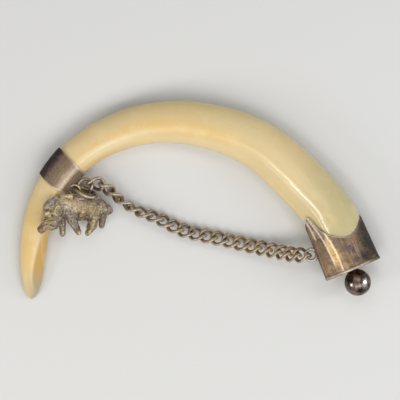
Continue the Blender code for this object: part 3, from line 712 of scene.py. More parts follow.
def cast_material():
    """Cast metal with a grey-lilac, ochre and chalky patina, dark in its hollows, and painted
    shade that darkens its lower body.
    """
    own = settings("charm")
    shades = Shades("patinated_cast_metal", own.lilac)
    place = shades.place()
    broad = shades.cloud(place, 170.0, 4.0, 0.55, 0.6)
    fleck = shades.cloud(place, 620.0, 5.0, 0.65)
    swing = 0.8 * (broad - 0.5) + 0.8 * (fleck - 0.5)
    low, hollow = shades.number("belly_shade"), shades.number("hollow")
    shades.stain(0.4, broad, 0.42, 0.60, own.umber)
    for name, shade, much, share, start, end in (
            ("ochre", own.ochre, 0.85, 1.0, 0.15, 0.75),
            ("green", own.moss, 0.75, 1.0, 0.15, 0.8),
            ("slate", own.slate, 0.95, 0.4, 0.15, 0.7),
            ("rosy", own.rosy, 0.8, 0.6, 0.2, 0.8)):
        shades.stain(much, shades.number(name) + share * swing, start, end, shade)
    # Painted shade: umber laid over the lower body, where the chalk below is dimmed as well.
    shades.cover(0.60 * low * (0.7 + 0.6 * broad), own.umber)
    shades.stain(0.84 - 0.26 * low, shades.number("chalk") + 0.7 * swing, 0.15, 0.85,
                 own.chalk)
    shades.stain(0.92, hollow + 0.5 * swing, 0.12, 0.85, own.umber)
    spots = shades.cloud(place, 1150.0, 3.0, 0.6)
    shades.stain(0.48, spots, 0.55, 0.68, own.umber)
    # The chalk spots are dimmed on the lower body by the painted shade.
    shades.stain(0.50 - 0.20 * low, spots, 0.45, 0.34, own.chalk)
    return shades.finish(Roughness=0.44 + 0.3 * (fleck - 0.5) + 0.15 * hollow, Metallic=0.45,
                         Normal=shades.bump(0.6 * fleck + 0.4 * spots, 0.00010, 0.7))


def floor_material():
    """Plain pale floor with the faintest mottling."""
    base = settings("stage").floor_colour
    shades = Shades("pale_floor", base)
    shades.cover(0.06 * shades.cloud(shades.place(), 9.0, 3.0, 0.5), tone(base, 0.8))
    return shades.finish(Roughness=0.85, Specular_IOR_Level=0.2)


# Shapes


class Line:
    """A smooth line through stations; the first numbers of each are its place."""

    def __init__(self, stations, place_numbers):
        self.values = np.array(stations, dtype=float)
        self.steps = np.linalg.norm(np.diff(self.values[:, :place_numbers], axis=0), axis=1)
        self.at_station = np.concatenate([[0.0], np.cumsum(self.steps)])
        self.length = float(self.at_station[-1])
        self.bends = self.solve_bends()

    def solve_bends(self):
        """Second derivatives at the stations, with straight ends."""
        count = len(self.values)
        matrix = np.zeros((count, count))
        right = np.zeros_like(self.values)
        matrix[0, 0] = 1.0
        matrix[-1, -1] = 1.0
        for i in range(1, count - 1):
            before, after = self.steps[i - 1], self.steps[i]
            matrix[i, i - 1:i + 2] = (before, 2.0 * (before + after), after)
            rise_after = (self.values[i + 1] - self.values[i]) / after
            rise_before = (self.values[i] - self.values[i - 1]) / before
            right[i] = 6.0 * (rise_after - rise_before)
        return np.linalg.solve(matrix, right)

    def at(self, distance):
        """The station's numbers at a distance along the line."""
        i = int(np.clip(np.searchsorted(self.at_station, distance) - 1, 0, len(self.steps) - 1))
        step = self.steps[i]
        u = (self.at_station[i + 1] - distance) / step
        v = 1.0 - u
        straight = u * self.values[i] + v * self.values[i + 1]
        bent = (u ** 3 - u) * self.bends[i] + (v ** 3 - v) * self.bends[i + 1]
        return straight + bent * step * step / 6.0

    def direction(self, distance, numbers):
        """Unit direction of travel, from the first numbers of the stations."""
        reach = 0.0002
        way = (self.at(distance + reach) - self.at(distance - reach))[:numbers]
        return way / np.linalg.norm(way)


TUSK_LINE = Line(TUSK_STATIONS, 2)
CHAIN_LINE = Line(CHAIN_ROUTE, 3)


def smooth_step(value, low, high):
    """0 below low, 1 above high and smooth between them."""
    share = min(1.0, max(0.0, (value - low) / (high - low)))
    return share * share * (3.0 - 2.0 * share)


def hump(value, rise, fall):
    """A smooth rise and a smooth fall, each given by its two ends."""
    return smooth_step(value, *rise) * smooth_step(value, *fall)


def patch(place, centre, radii):
    """How much a place lies in a soft oval patch."""
    reach = ((place[0] - centre[0]) / radii[0]) ** 2 + ((place[1] - centre[1]) / radii[1]) ** 2
    return math.exp(-reach)


def patch_sum(place, patches):
    """How much a place lies in several patches of different strength."""
    return sum(much * patch(place, centre, radii) for centre, radii, much in patches)


def soft_beyond(value, softness):
    """The part of a value above zero, with a soft start."""
    share = value / softness
    return value if share > 30.0 else softness * math.log1p(math.exp(share))


def signed_power(value, power):
    """Power of a value's size, with its sign kept."""
    return math.copysign(abs(value) ** power, value)


def section_shares(angle, flats_turn=0.0, soften=1.0):
    """The tusk's section at an angle, as shares (outward, up) of its half sizes."""
    across = signed_power(math.cos(angle), 2.0 / SECTION_POWER)
    up = signed_power(math.sin(angle), 2.0 / SECTION_POWER)
    across -= (RIDGE_TOP if up > 0.0 else RIDGE_UNDER) * up * up
    for facing, reach, crease in SECTION_FLATS:
        softness = crease * soften
        turn = math.radians(facing + flats_turn)
        beyond = across * math.cos(turn) + up * math.sin(turn) - reach
        if beyond > -8.0 * softness:
            back = soft_beyond(beyond, softness)
            across -= back * math.cos(turn)
            up -= back * math.sin(turn)
    return across, up


def add_object(name, data):
    """Put new data into the scene as an object."""
    made = bpy.data.objects.new(name, data)
    bpy.context.scene.collection.objects.link(made)
    return made


def object_of(bm, name):
    """Turn a bmesh into an object of the scene."""
    mesh = bpy.data.meshes.new(name)
    bm.to_mesh(mesh)
    bm.free()
    return add_object(name, mesh)


def put_piece(bm, name, node, material, sharp=None):
    """Make a piece of a bmesh: it rides on the body and stands for the frame's node."""
    turn = bm.verts.layers.float.get("turn")
    if turn:
        bm.verts.layers.float.remove(turn)
    bmesh.ops.recalc_face_normals(bm, faces=bm.faces)
    piece = object_of(bm, name)
    piece.data.shade_smooth()
    if sharp:
        piece.data.set_sharp_from_angle(angle=math.radians(sharp))
    piece.data.materials.append(material)
    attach(piece, BODY)
    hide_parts(node)


def number_layers(bm, *names):
    """Number attributes of the vertices."""
    return [bm.verts.layers.float.new(name) for name in names]


def new_skin(*names):
    """An empty bmesh, with its vector attribute and such number attributes."""
    bm = bmesh.new()
    return bm, bm.verts.layers.float_vector.new("lay"), *number_layers(bm, *names)


def loft(bm, sides, places, point):
    """Extrude a circle through places; point(place, angle, vertex) puts each vertex."""
    turn = bm.verts.layers.float.new("turn")
    ring = bmesh.ops.create_circle(bm, segments=sides, radius=1.0)["verts"]
    for vert in ring:
        vert[turn] = math.atan2(vert.co.y, vert.co.x)
    edges = list({edge for vert in ring for edge in vert.link_edges})
    first = edges
    for number, place in enumerate(places):
        if number:
            grown = bmesh.ops.extrude_edge_only(bm, edges=edges)["geom"]
            ring = [part for part in grown if isinstance(part, bmesh.types.BMVert)]
            edges = [part for part in grown
                     if isinstance(part, bmesh.types.BMEdge) and part.is_boundary]
        for vert in ring:
            vert.co = point(place, vert[turn], vert)
    return first, edges, ring


def cap_axis():
    """Directions of the cap: along its axis towards the base, and outward."""
    along = Vector((math.cos(CAP_ANGLE), math.sin(CAP_ANGLE), 0.0))
    return along, Vector((-along.y, along.x, 0.0))


# Tusk


def wear_plane():
    """Normal and point of the worn facet's plane, the normal pointing up."""
    a, b, c = (Vector(p) for p in WEAR_POINTS)
    normal = (b - a).cross(c - a).normalized()
    return (normal if normal.z > 0.0 else -normal), a


def tusk_skin(distance, angle, grow=0.0):
    """A point of the tusk's skin, before the facet is worn into it."""
    x, y, width, thick, lift = TUSK_LINE.at(distance)
    lift = max(lift, 0.0)
    way = TUSK_LINE.direction(distance, 2)
    into_tip = max(0.0, distance - (TUSK_LINE.length - TIP_ROUND)) / TIP_ROUND
    shrink = math.sqrt(max(0.0, 1.0 - into_tip ** 2))
    half_width, half_thick = width / 2.0 * shrink, thick / 2.0 * shrink
    share = distance / TUSK_LINE.length
    across, up = section_shares(angle, 0.0, 1.0 + CREASE_FADE * hump(share, *CREASE_MIDDLE))
    n = across * (half_width + grow)
    z = lift + SEAT_SHARE * half_thick + up * (half_thick + grow)
    return Vector((x + n * way[1], y - n * way[0], max(z, lift - grow, 0.0))), across, up


def make_tusk():
    """The tusk, one skin from its flat root in the cap to its worn tip."""
    bm, lay, wear, amber, pale, grey, rim_highlight = new_skin("wear", "amber", "pale", "grey", "rim_highlight")
    tones = ((amber, AMBER_PATCHES), (pale, PALE_AND_SHEEN_PATCHES), (grey, GREY_PATCHES))
    normal, origin = wear_plane()
    length = TUSK_LINE.length
    cap_foot = Vector((*CAP_BASE, 0.0))
    along_cap, outward_cap = cap_axis()

    def point(share, angle, vert):
        place, across, up = tusk_skin(length * share, angle)
        vert[lay] = (share, across, up)
        at = (share, across)
        for layer, patches in tones:
            vert[layer] = min(1.0, patch_sum(at, patches))
        ripple = noise.fractal(Vector((share * 26.0, across * 1.3, up * 1.3)), 1.0, 2.0, 3)
        place.z = max(0.0, place.z + TUSK_RIPPLE * ripple)
        height = -(place - cap_foot).dot(along_cap)
        # Painted highlight line of ivory just above the cap's rim
        if height < RIM_REACH:
            vert[rim_highlight] = hump(height - rim_height(angle), *RIM_HIGHLIGHT_LINE)
        bulge = SWELL_DEPTH * hump(height, *SWELL) - SWELL_DEPTH * hump(height, *WAIST)
        place += outward_cap * max(0.0, across) ** 2 * bulge
        if place.y < WEAR_START_Y and place.x < 0.0:
            over = (place - origin).dot(normal)
            start = smooth_step(place.y, WEAR_START_Y, WEAR_START_Y - WEAR_RUN)
            back = soft_beyond(over, WEAR_SOFT) * start
            place -= Vector((0.0, 0.0, back / normal.z))
            vert[wear] = max(smooth_step(over, -0.0001, 0.0004) * start,
                             0.9 * patch(at, *WEAR_STAIN))
        return place

    shares = [1.0 - (1.0 - i / TUSK_RINGS) ** RING_CROWDING for i in range(TUSK_RINGS)]
    root, _, last = loft(bm, TUSK_SIDES, shares, point)
    bmesh.ops.holes_fill(bm, edges=root)
    x, y, _, _, lift = TUSK_LINE.at(length)
    bmesh.ops.pointmerge(bm, verts=last, merge_co=(x, y, lift + TIP_CENTRE_LIFT))
    put_piece(bm, "tusk_ivory", "tusk", ivory_material())


# Cap, plate and ball


def rim_height(angle):
    """Height of the scalloped rim at an angle round the cap."""
    angles, heights = np.array([(a + lap, h) for lap in (-360.0, 0.0, 360.0)
                                for a, h in CAP_RIM]).T
    at = math.degrees(angle) % 360.0
    slopes = np.gradient(heights, angles)
    i = int(np.searchsorted(angles, at, side="right") - 1)
    span = angles[i + 1] - angles[i]
    t = (at - angles[i]) / span
    start = (1.0 + 2.0 * t) * (1.0 - t) ** 2 * heights[i] + t * (1.0 - t) ** 2 * span * slopes[i]
    end = t * t * (3.0 - 2.0 * t) * heights[i + 1] + t * t * (t - 1.0) * span * slopes[i + 1]
    return float(start + end)


def cap_point(angle, height, grow):
    """A point of the cap's skin at an angle round it and a height above its base."""
    share = min(1.0, height / CAP_TAPER_LENGTH)
    half_width = CAP_HALF_WIDTH_BASE + (CAP_HALF_WIDTH_TOP - CAP_HALF_WIDTH_BASE) * share
    fan = CAP_FAN * smooth_step(height, 0.004, 0.024)
    across, up = section_shares(angle, fan)
    n = across * (half_width + grow)
    n -= CAP_FOLLOW * max(0.0, height - CAP_TAPER_LENGTH) ** 2
    along, outward = cap_axis()
    place = Vector((*CAP_BASE, 0.0)) - along * height + outward * n
    place.z = max(CAP_MIDDLE_Z + up * (CAP_HALF_THICK + grow), 0.0)
    return place, across, up


def along_line(place, points, width, fade):
    """How close a place (across, height) is to a line of such points, fading at its ends."""
    across, height = place
    heights = [p[1] for p in points][::-1]
    middles = [p[0] for p in points][::-1]
    middle = float(np.interp(height, heights, middles))
    ends = (smooth_step(height, heights[0] - fade, heights[0] + fade)
            * smooth_step(height, heights[-1] + fade, heights[-1] - fade))
    return math.exp(-((across - middle) / width) ** 2) * ends


def make_cap():
    """The scalloped sleeve: outer wall, rolled rim and inner wall."""
    bm, lay, rub_and_sheen, *tones = new_skin("rub_and_sheen", "gold", "plum", "olive", "rust", "soot_and_shade")
    soot_and_shade = tones[-1]
    levels = [(i / CAP_ROWS, 0.0) for i in range(CAP_ROWS + 1)]
    levels += [(1.012, -0.00012), (1.016, -CAP_WALL / 2.0), (1.012, -CAP_WALL + 0.00012)]
    levels += [(1.0 - i / CAP_INNER_ROWS, -CAP_WALL) for i in range(CAP_INNER_ROWS + 1)]

    def point(level, angle, vert):
        share, grow = level
        height = PLATE_THICK + (rim_height(angle) - PLATE_THICK) * share
        place, across, up = cap_point(angle, height, grow)
        vert[lay] = (height / LAY_HEIGHT, across, up)
        dent = noise.fractal(Vector((across * 2.1, up * 2.1, height * 160.0)), 1.0, 2.0, 2)
        place += Vector((0.0, 0.0, CAP_DENT * dent)) if up > 0.0 else Vector()
        seen = smooth_step(up, *SEEN)
        spot = (across, height * 1000.0)
        # Painted highlight: bright lines where the lamps reflect along the cap's ridges, and the
        # rubbed rim.
        lines = sum(much * along_line(spot, points, width, 2.0)
                    for points, width, much in CAP_HIGHLIGHT_LINES)
        vert[rub_and_sheen] = min(1.0, seen * lines + 0.6 * smooth_step(share, 0.975, 1.0))
        for layer, patches in zip(tones, CAP_TONES):
            vert[layer] = seen * min(1.0, patch_sum(spot, patches))
        # Painted shade: plain soot on the hidden underside.
        vert[soot_and_shade] += 0.35 * (1.0 - seen)
        return place

    first, last, _ = loft(bm, CAP_SIDES, levels, point)
    bmesh.ops.bridge_loops(bm, edges=first + last)
    put_piece(bm, "cap_sleeve", "end_cap",
              silver_material("tarnished_cap_silver", 1.1), 50.0)


def make_plate():
    """The flat plate under the cap, with its small rounded lip."""
    bm, lay, rub_and_sheen, gold, soot_and_shade = new_skin("rub_and_sheen", "gold", "soot_and_shade")
    middle = PLATE_THICK / 2.0
    side = PLATE_LIP - PLATE_ROUNDING
    levels = [(PLATE_THICK, PLATE_FACE), (PLATE_THICK, side)]
    for i in range(1, PLATE_ROWS):
        turn = math.pi * i / PLATE_ROWS
        levels.append((middle + (middle - 0.00002) * math.cos(turn),
                       side + PLATE_ROUNDING * math.sin(turn)))
    levels += [(0.0, side), (0.0, PLATE_FACE)]

    def point(level, angle, vert):
        height, grow = level
        place, across, up = cap_point(angle, height, grow)
        vert[lay] = (height / LAY_HEIGHT, across, up)
        vert[rub_and_sheen] = 0.4 * smooth_step(grow, -0.0003, 0.0002)
        # Painted glint: gold at the right end of the lip.
        vert[gold] = patch((across, 0.0), (0.85, 0.0), (0.12, 1.0))
        # Painted shade: the plate's right side darkened with soot.
        vert[soot_and_shade] = 0.75 * smooth_step(across, 0.2, 0.9)
        return place

    first, last, _ = loft(bm, CAP_SIDES, levels, point)
    bmesh.ops.holes_fill(bm, edges=first)
    bmesh.ops.holes_fill(bm, edges=last)
    put_piece(bm, "cap_end_plate", "cap_base_plate",
              silver_material("tarnished_plate_silver", 2.0), 35.0)


def spin_round(bm, geom, steps):
    """Spin a profile once round z."""
    bmesh.ops.spin(bm, geom=geom, cent=(0, 0, 0), axis=(0, 0, 1), dvec=(0, 0, 0),
                   angle=2.0 * math.pi, steps=steps, use_merge=True, use_duplicate=False)


def make_ball():
    """The ball on its short neck, turned about its axis."""
    bm = bmesh.new()
    start = math.asin(BALL_NECK_RADIUS / BALL_RADIUS)
    profile = [(0.0, GAP), (BALL_NECK_RADIUS + 0.0001, GAP),
               (BALL_NECK_RADIUS + 0.0002, 1.5 * GAP), (BALL_NECK_RADIUS - 0.0001, 2.0 * GAP)]
    for i in range(BALL_ROWS + 1):
        angle = start + (math.pi - start) * i / BALL_ROWS
        profile.append((BALL_RADIUS * math.sin(angle),
                        BALL_REACH - BALL_RADIUS * math.cos(angle)))
    verts = [bm.verts.new((max(0.0, r), 0.0, -h)) for r, h in profile]
    spin_round(bm, verts + [bm.edges.new(pair) for pair in zip(verts, verts[1:])], BALL_STEPS)
    bmesh.ops.remove_doubles(bm, verts=bm.verts, dist=BALL_MERGE)
    along, outward = cap_axis()
    turn = (-along).to_track_quat("Z", "Y").to_matrix().to_4x4()
    place = Vector((*CAP_BASE, CAP_MIDDLE_Z)) + outward * BALL_SIDE_SHIFT
    bmesh.ops.transform(bm, matrix=Matrix.Translation(place) @ turn, verts=bm.verts)
    painted_highlight, = number_layers(bm, "painted_highlight")
    middle = place + along * BALL_REACH
    for vert in bm.verts:
        way = (vert.co - middle) / BALL_RADIUS
        # Painted highlight spots, on the half of the ball that faces up.
        vert[painted_highlight] = patch_sum(way, BALL_HIGHLIGHTS) * smooth_step(way.z, 0.0, 0.3)
    put_piece(bm, "ball_and_neck", "ball_finial", ball_material(), 40.0)


# Band


def band_start():
    """Distance along the tusk at which the band starts."""
    places = np.linspace(0.0, TUSK_LINE.length, 400)
    gaps = [math.dist(TUSK_LINE.at(p)[:2], BAND_STARTS_AT) for p in places]
    return float(places[int(np.argmin(gaps))])


def make_band():
    """The silver band, with its bowed rim and softly rounded edges."""
    bm, lay, rub_and_sheen, gold, plum, soot_and_shade = new_skin("rub_and_sheen", "gold", "plum", "soot_and_shade")
    start = band_start()
    outer, inner = GAP + BAND_WALL, GAP
    middle, edge_height = (inner + outer) / 2.0, outer - BAND_EDGE
    flat = 1.0 - 2.0 * BAND_ROLL
    levels = [(0.0, inner), (-BAND_ROLL, middle), (0.0, edge_height)]
    levels += [(BAND_ROLL + flat * i / BAND_ROWS, outer) for i in range(BAND_ROWS + 1)]
    levels += [(1.0, edge_height), (1.0 + BAND_ROLL, middle), (1.0, inner)]
    levels += [(1.0 - i / BAND_INNER_ROWS, inner) for i in range(1, BAND_INNER_ROWS)]

    def point(level, angle, vert):
        share, grow = level
        length = BAND_LENGTH + BAND_BOW * math.sin(angle) ** 2
        place, across, up = tusk_skin(start + length * share, angle, grow)
        vert[lay] = (share * 0.6, across, up)
        edge = max(smooth_step(share, 0.95, 0.995), smooth_step(share, 0.05, 0.005))
        seen = smooth_step(up, *SEEN)
        # Painted highlight: a bright line along the ridge, stronger towards the far end, and a
        # broad sheen on the face before it; the ends are rubbed edges.
        low = 0.55 + 0.45 * smooth_step(share, 0.25, 0.70)
        ridge_sheen = (0.46 * low * patch((across, 0.0), (-0.54, 0.0), (0.07, 1.0))
                  + 0.34 * hump(across, (0.20, -0.50), (-0.80, -0.56)))
        vert[rub_and_sheen] = min(1.0, seen * ridge_sheen + 0.4 * edge)
        # Painted shade: soot on the underside, down the outer side and on the face beyond the
        # ridge.
        vert[soot_and_shade] = 0.4 * (1.0 - seen) + seen * min(1.0, smooth_step(across, 0.28, 1.02)
                                                     + 0.35 * smooth_step(across, -0.62, -0.90))
        vert[plum] = seen * patch((across, share), (0.70, 0.5), (0.20, 0.8))
        vert[gold] = seen * 0.15 * patch((across, share), (-0.10, 0.2), (0.40, 0.4))
        return place

    first, last, _ = loft(bm, BAND_SIDES, levels, point)
    bmesh.ops.bridge_loops(bm, edges=first + last)
    put_piece(bm, "silver_band", "collar",
              silver_material("tarnished_band_silver", 1.6, 0.55), 50.0)


# Rings and chain


def standing_circle(bm, middle, wire, sides):
    """The section of a ring of wire, ready to be spun: its vertices and edges."""
    made = bmesh.ops.create_circle(bm, segments=sides, radius=wire)["verts"]
    stand = Matrix.Translation((middle, 0.0, 0.0)) @ Matrix.Rotation(math.pi / 2.0, 4, "X")
    bmesh.ops.transform(bm, matrix=stand, verts=made)
    return made, list({edge for vert in made for edge in vert.link_edges})


def wire_ring(half_length, half_width, wire, twist=0.0, gilt=0.0):
    """Spin a ring of round wire, then draw it out to an oval and twist it along x."""
    bm = bmesh.new()
    middle = (half_length + half_width) / 2.0
    made, edges = standing_circle(bm, middle, wire, RING_SIDES)
    spin_round(bm, made + edges, RING_STEPS)
    bmesh.ops.remove_doubles(bm, verts=bm.verts, dist=RING_MERGE)
    rub_and_sheen, tint = number_layers(bm, "rub_and_sheen", "tint")
    for vert in bm.verts:
        vert[tint] = gilt
        angle = math.atan2(vert.co.y, vert.co.x)
        centre = Vector((math.cos(angle), math.sin(angle), 0.0)) * middle
        offset = vert.co - centre
        drawn = Vector((half_length * math.cos(angle), half_width * math.sin(angle), 0.0))
        place = drawn + offset
        turn = twist * drawn.x / half_length
        vert.co = Matrix.Rotation(turn, 3, "X") @ place
        vert[rub_and_sheen] = 0.5 + 0.5 * offset.normalized().dot(centre.normalized())
    return bm


def put_ring(bm, place, name, node, material):
    """Place a ring of the chain's silver and make a piece of it."""
    bmesh.ops.transform(bm, matrix=place, verts=bm.verts)
    put_piece(bm, name, node, material)


def make_soldered_ring(name, node, ring, material, tilt=0.0, gilt=0.0):
    """One of the two rings that are soldered on, lying level or tilted about x."""
    centre, radius, wire = ring
    place = Matrix.Translation(centre) @ Matrix.Rotation(tilt, 4, "X")
    put_ring(wire_ring(radius, radius, wire, 0.0, gilt), place, name, node, material)


def link_places():
    """Place and turn of every link along the route, as matrices."""
    pitches = []
    for k in range(LINK_COUNT - 1):
        share = max(0.0, k - CHAIN_SLACK_FROM) / (LINK_COUNT - 2 - CHAIN_SLACK_FROM)
        pitches.append(CHAIN_PITCH + (CHAIN_PITCH_RIGHT - CHAIN_PITCH) * share)
    scale = CHAIN_LINE.length / sum(pitches)
    distance = 0.0
    places = []
    for k in range(LINK_COUNT):
        x, y, z, roll = CHAIN_LINE.at(distance)
        forward = Vector(CHAIN_LINE.direction(distance, 3))
        side = Vector((0.0, 0.0, 1.0)).cross(forward).normalized()
        up = forward.cross(side)
        turn = Matrix((forward, side, up)).transposed().to_4x4()
        spin = Matrix.Rotation(math.radians(roll), 4, "X")
        places.append(Matrix.Translation((x, y, z)) @ turn @ spin)
        if k < LINK_COUNT - 1:
            distance += pitches[k] * scale
    return places


def make_links(material):
    """Every link of the chain, a twisted oval of wire."""
    own = settings("chain")
    left, right = LINK_TWIST
    for k, place in enumerate(link_places()):
        twist = left + (right - left) * smooth_step(k, CHAIN_SLACK_FROM - 1, LINK_COUNT - 4)
        ring = wire_ring(LINK_HALF_LENGTH, LINK_HALF_WIDTH, own.wire, twist,
                         smooth_step(k, 12, 18))
        put_ring(ring, place, f"curb_link_{k + 1:02d}", f"chain_link_{k + 1:02d}", material)


def make_charm_ring(material):
    """The long ring between the band's ring and the charm."""
    lean, pitch, turn = CHARM_RING_ANGLES
    angles = Matrix.Rotation(turn, 4, "Z") @ Matrix.Rotation(pitch, 4, "Y")
    place = Matrix.Translation(CHARM_RING_CENTRE) @ angles @ Matrix.Rotation(lean, 4, "X")
    ring = wire_ring(CHARM_RING_HALF_LENGTH, CHARM_RING_HALF_WIDTH, CHARM_RING_WIRE)
    put_ring(ring, place, "long_charm_ring", "charm_ring", material)


# Boar charm


def add_lump(bm, centre, radii, turn):
    """An egg-shaped lump of the charm."""
    size = Matrix.Diagonal((*radii, 1.0))
    place = Matrix.Translation(centre) @ Matrix.Rotation(math.radians(turn), 4, "Z") @ size
    bmesh.ops.create_icosphere(bm, subdivisions=3, radius=1.0, matrix=place)


def add_limb(bm, start, end, start_radius, end_radius):
    """A tapered limb of the charm with round ends."""
    start, end = Vector(start), Vector(end)
    along = end - start
    turn = along.to_track_quat("Z", "Y").to_matrix().to_4x4()
    place = Matrix.Translation((start + end) / 2.0) @ turn
    bmesh.ops.create_cone(bm, cap_ends=True, segments=24, radius1=start_radius,
                          radius2=end_radius, depth=along.length, matrix=place)
    for centre, radius in ((start, start_radius), (end, end_radius)):
        add_lump(bm, centre, (radius, radius, radius), 0.0)


def ear_cup(place, centre, radii, turn):
    """Rim and hollow of an ear at a place on the flank."""
    flat = Matrix.Rotation(-math.radians(turn), 2) @ (Vector(place[:2]) - Vector(centre))
    reach = math.hypot(flat[0] / radii[0], flat[1] / radii[1])
    return math.exp(-((reach - 0.98) / 0.20) ** 2), math.exp(-(reach / 0.72) ** 4)


def cut_distance(place, points):
    """Distance from a place on the flank to a line of points."""
    best = 1.0
    flat = Vector(place[:2])
    for start, end in zip(points, points[1:]):
        a, b = Vector(start), Vector(end)
        share = max(0.0, min(1.0, (flat - a).dot(b - a) / (b - a).length_squared))
        best = min(best, (flat - a - (b - a) * share).length)
    return best


def cast_skin(bm, grain):
    """Melt the charm's lumps into one skin of small faces."""
    holder = object_of(bm, "melting")
    mesh = holder.data
    melt = holder.modifiers.new("melt", "REMESH")
    melt.mode = "VOXEL"
    melt.voxel_size = grain
    bpy.context.view_layer.update()
    shown = holder.evaluated_get(bpy.context.evaluated_depsgraph_get())
    bm = bmesh.new()
    bm.from_mesh(shown.to_mesh())
    shown.to_mesh_clear()
    bpy.data.objects.remove(holder)
    bpy.data.meshes.remove(mesh)
    return bm


def bristles(place):
    """Height of the cast bristles: clumps broken into sharp tufts that sweep backwards."""
    swept = Vector((0.62 * place.x + 0.30 * place.y, 0.85 * place.y - 0.30 * place.x,
                    place.z))
    clump = noise.fractal(place * 640.0, 0.55, 2.1, 4)
    bend = noise.noise_vector(place * 700.0) * 0.00045
    tuft = 1.0 - 2.4 * abs(noise.noise((swept + bend) * 1250.0))
    return 0.62 * clump + 0.26 * tuft


def make_charm():
    """The cast boar: one skin with ears, mouth, mane, hooves and bristles, and an eyelet."""
    own = settings("charm")
    bm = bmesh.new()
    for lump in CHARM_LUMPS + CHARM_DETAILS:
        add_lump(bm, *lump)
    for limb in CHARM_LIMBS:
        add_limb(bm, *limb)
    bm = cast_skin(bm, own.grain)
    for _ in range(CHARM_SMOOTHINGS):
        bmesh.ops.smooth_vert(bm, verts=bm.verts, factor=0.5, use_axis_x=True,
                              use_axis_y=True, use_axis_z=True)
    bm.normal_update()
    hollow, ochre, chalk, green, slate, rosy, belly_shade = number_layers(
        bm, "hollow", "ochre", "chalk", "green", "slate", "rosy", "belly_shade")
    moves = []
    for vert in bm.verts:
        place = vert.co.copy()
        top = smooth_step(vert.normal.z, -0.2, 0.4)
        depth = dark = 0.0
        for points, half_width, deep, shade in CHARM_CUTS:
            near = math.exp(-(cut_distance(place, points) / half_width) ** 2) * top
            depth += deep * near
            dark += shade * near
        (near_rim, near_cup), (far_rim, far_cup) = (ear_cup(place, *ear) for ear in CHARM_EARS)
        cups = top * max(near_cup, far_cup)
        rims = top * max(near_rim * smooth_step(place.x, -0.0170, -0.0196), 0.12 * far_rim)
        rise = bristles(place) * (1.0 - 0.65 * cups - 0.40 * rims)
        depth += 0.00030 * cups - 0.00022 * rims
        hooves = max(patch(place, foot, HOOF_RADII) for foot in CHARM_FEET)
        # Painted shade: the lower body is darkened, less at the head and the hooves, as if
        # turned away from the light.
        low = smooth_step(place.y, 0.0036, -0.0016)
        low *= 1.0 - 0.35 * smooth_step(place.x, -0.0190, -0.0245) - 0.35 * hooves
        vert[belly_shade] = low
        vert[hollow] = min(1.0, max(0.0, dark + max(0.0, 0.03 - rise) * 1.6 - 0.4 * rims)
                           * (1.0 - 0.6 * cups))
        # Chalk: rubbed high spots, ear rims and hooves, and painted light along the top of the
        # back.
        vert[chalk] = min(1.0, (max(0.0, rise - 0.20) * 1.5 + 0.55 * rims + 0.35 * hooves
                                + patch_sum(place, CHARM_CHALK_AND_LIGHT)) * (1.0 - 0.8 * cups))
        vert[ochre] = min(1.0, patch_sum(place, CHARM_OCHRE) + 0.6 * rims + 0.4 * hooves)
        vert[green] = top * near_cup + patch_sum(place, CHARM_GREEN)
        vert[slate] = top * min(1.0, 1.4 * far_cup)
        vert[rosy] = min(1.0, patch_sum(place, CHARM_ROSY))
        moves.append(vert.normal * (rise * own.bristle - depth))
    for vert, move in zip(bm.verts, moves):
        vert.co += move
    tilt = Matrix.Translation(CHARM_PIVOT) @ Matrix.Rotation(CHARM_TILT, 4, "Y")
    bmesh.ops.transform(bm, matrix=tilt, verts=bm.verts)
    add_eyelet(bm)
    put_piece(bm, "cast_boar", "boar_charm", cast_material())


def add_eyelet(bm):
    """The small ring on the boar's back that the long ring passes through."""
    made, edges = standing_circle(bm, EYELET_RADIUS, EYELET_WIRE, EYELET_SIDES)
    known = set(bm.verts) - set(made)
    spin_round(bm, made + edges, EYELET_STEPS)
    ring = [vert for vert in bm.verts if vert not in known]
    bmesh.ops.remove_doubles(bm, verts=ring, dist=RING_MERGE)
    ring = [vert for vert in bm.verts if vert.is_valid and vert not in known]
    bmesh.ops.translate(bm, verts=ring, vec=EYELET_CENTRE)


# Stage


def add_light(name, place, size, watts, colour):
    """A soft rectangular light that looks at the origin."""
    data = bpy.data.lights.new(name, "AREA")
    data.shape = "RECTANGLE"
    data.size, data.size_y = size
    data.energy = watts
    data.color = colour
    light = add_object(name, data)
    light.location = place
    light.rotation_euler = (-Vector(place)).to_track_quat("-Z", "Y").to_euler()


def make_stage():
    """Floor, soft lights and the camera straight above."""
    own = settings("stage")
    bm = bmesh.new()
    bmesh.ops.create_grid(bm, x_segments=8, y_segments=8, size=3.0)
    floor = object_of(bm, "floor")
    floor.data.materials.append(floor_material())
    for light in LIGHTS:
        add_light(*light)

    world = bpy.data.worlds.new("pale_room")
    world.use_nodes = True
    sky = world.node_tree.nodes["Background"]
    sky.inputs["Color"].default_value = SKY_COLOUR
    sky.inputs["Strength"].default_value = SKY_STRENGTH
    bpy.context.scene.world = world

    data = bpy.data.cameras.new("camera")
    data.sensor_width = SENSOR_WIDTH
    data.lens = SENSOR_WIDTH * (own.camera_height - SHARP_HEIGHT) / own.frame_width
    data.clip_end = 20.0
    camera = add_object("camera", data)
    camera.location = (*CAMERA_PLACE, own.camera_height)
    bpy.context.scene.camera = camera
    bpy.context.scene.view_settings.view_transform = "Standard"


# Operators and panel


class TUSK_OT_ivory(bpy.types.Operator):
    """Model the tusk with its ridges and worn tip"""
    bl_idname = "tusk.ivory"
    bl_label = "Tusk"

    def execute(self, context):
        make_tusk()
        return {"FINISHED"}


class TUSK_OT_cap(bpy.types.Operator):
    """Model the scalloped cap, its end plate and the ball"""
    bl_idname = "tusk.cap"
    bl_label = "Cap, plate and ball"

    def execute(self, context):
        make_cap()
        make_plate()
        make_ball()
        return {"FINISHED"}


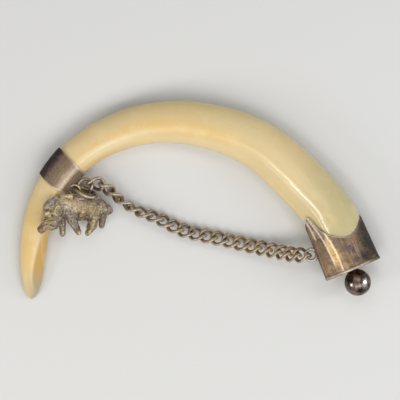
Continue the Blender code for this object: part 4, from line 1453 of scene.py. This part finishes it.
class TUSK_OT_band(bpy.types.Operator):
    """Model the silver band round the thin end"""
    bl_idname = "tusk.band"
    bl_label = "Band"

    def execute(self, context):
        make_band()
        return {"FINISHED"}


class TUSK_OT_chain(bpy.types.Operator):
    """Model the links, the two soldered rings and the charm's long ring"""
    bl_idname = "tusk.chain"
    bl_label = "Chain and rings"

    def execute(self, context):
        material = wire_material()
        make_soldered_ring("cap_solder_ring", "cap_loop", CAP_RING, material, 0.0, -1.0)
        make_soldered_ring("band_solder_ring", "collar_loop", BAND_RING, material,
                           BAND_RING_TILT)
        make_links(material)
        make_charm_ring(material)
        return {"FINISHED"}


class TUSK_OT_charm(bpy.types.Operator):
    """Model the cast boar charm"""
    bl_idname = "tusk.charm"
    bl_label = "Boar charm"

    def execute(self, context):
        make_charm()
        return {"FINISHED"}


class TUSK_OT_stage(bpy.types.Operator):
    """Add the floor, the lights and the camera"""
    bl_idname = "tusk.stage"
    bl_label = "Stage"

    def execute(self, context):
        make_stage()
        return {"FINISHED"}


OPERATORS = [TUSK_OT_ivory, TUSK_OT_cap, TUSK_OT_band, TUSK_OT_chain, TUSK_OT_charm,
             TUSK_OT_stage]


class TUSK_PT_panel(bpy.types.Panel):
    """Lists the settings and the steps"""
    bl_idname = "TUSK_PT_panel"
    bl_label = "Mounted Boar Tusk"
    bl_space_type = "VIEW_3D"
    bl_region_type = "UI"
    bl_category = "Tusk"

    def draw(self, context):
        for name, group in SETTINGS.items():
            box = self.layout.box()
            box.label(text=name.capitalize())
            for setting in group.__annotations__:
                box.prop(settings(name), setting)
        for operator in OPERATORS:
            self.layout.operator(operator.bl_idname)


CLASSES = [*SETTINGS.values(), *OPERATORS, TUSK_PT_panel]


def register():
    """Register the classes and hang the settings on the scene."""
    for cls in CLASSES:
        bpy.utils.register_class(cls)
    for name, group in SETTINGS.items():
        setattr(bpy.types.Scene, f"tusk_{name}", bpy.props.PointerProperty(type=group))


def unregister():
    """Take the settings and the classes away again."""
    for name in SETTINGS:
        delattr(bpy.types.Scene, f"tusk_{name}")
    for cls in reversed(CLASSES):
        bpy.utils.unregister_class(cls)


def main():
    """Model every piece."""
    register()
    bpy.ops.tusk.stage()
    bpy.ops.tusk.ivory()
    bpy.ops.tusk.cap()
    bpy.ops.tusk.band()
    bpy.ops.tusk.chain()
    bpy.ops.tusk.charm()


if __name__ == "__main__":
    main()
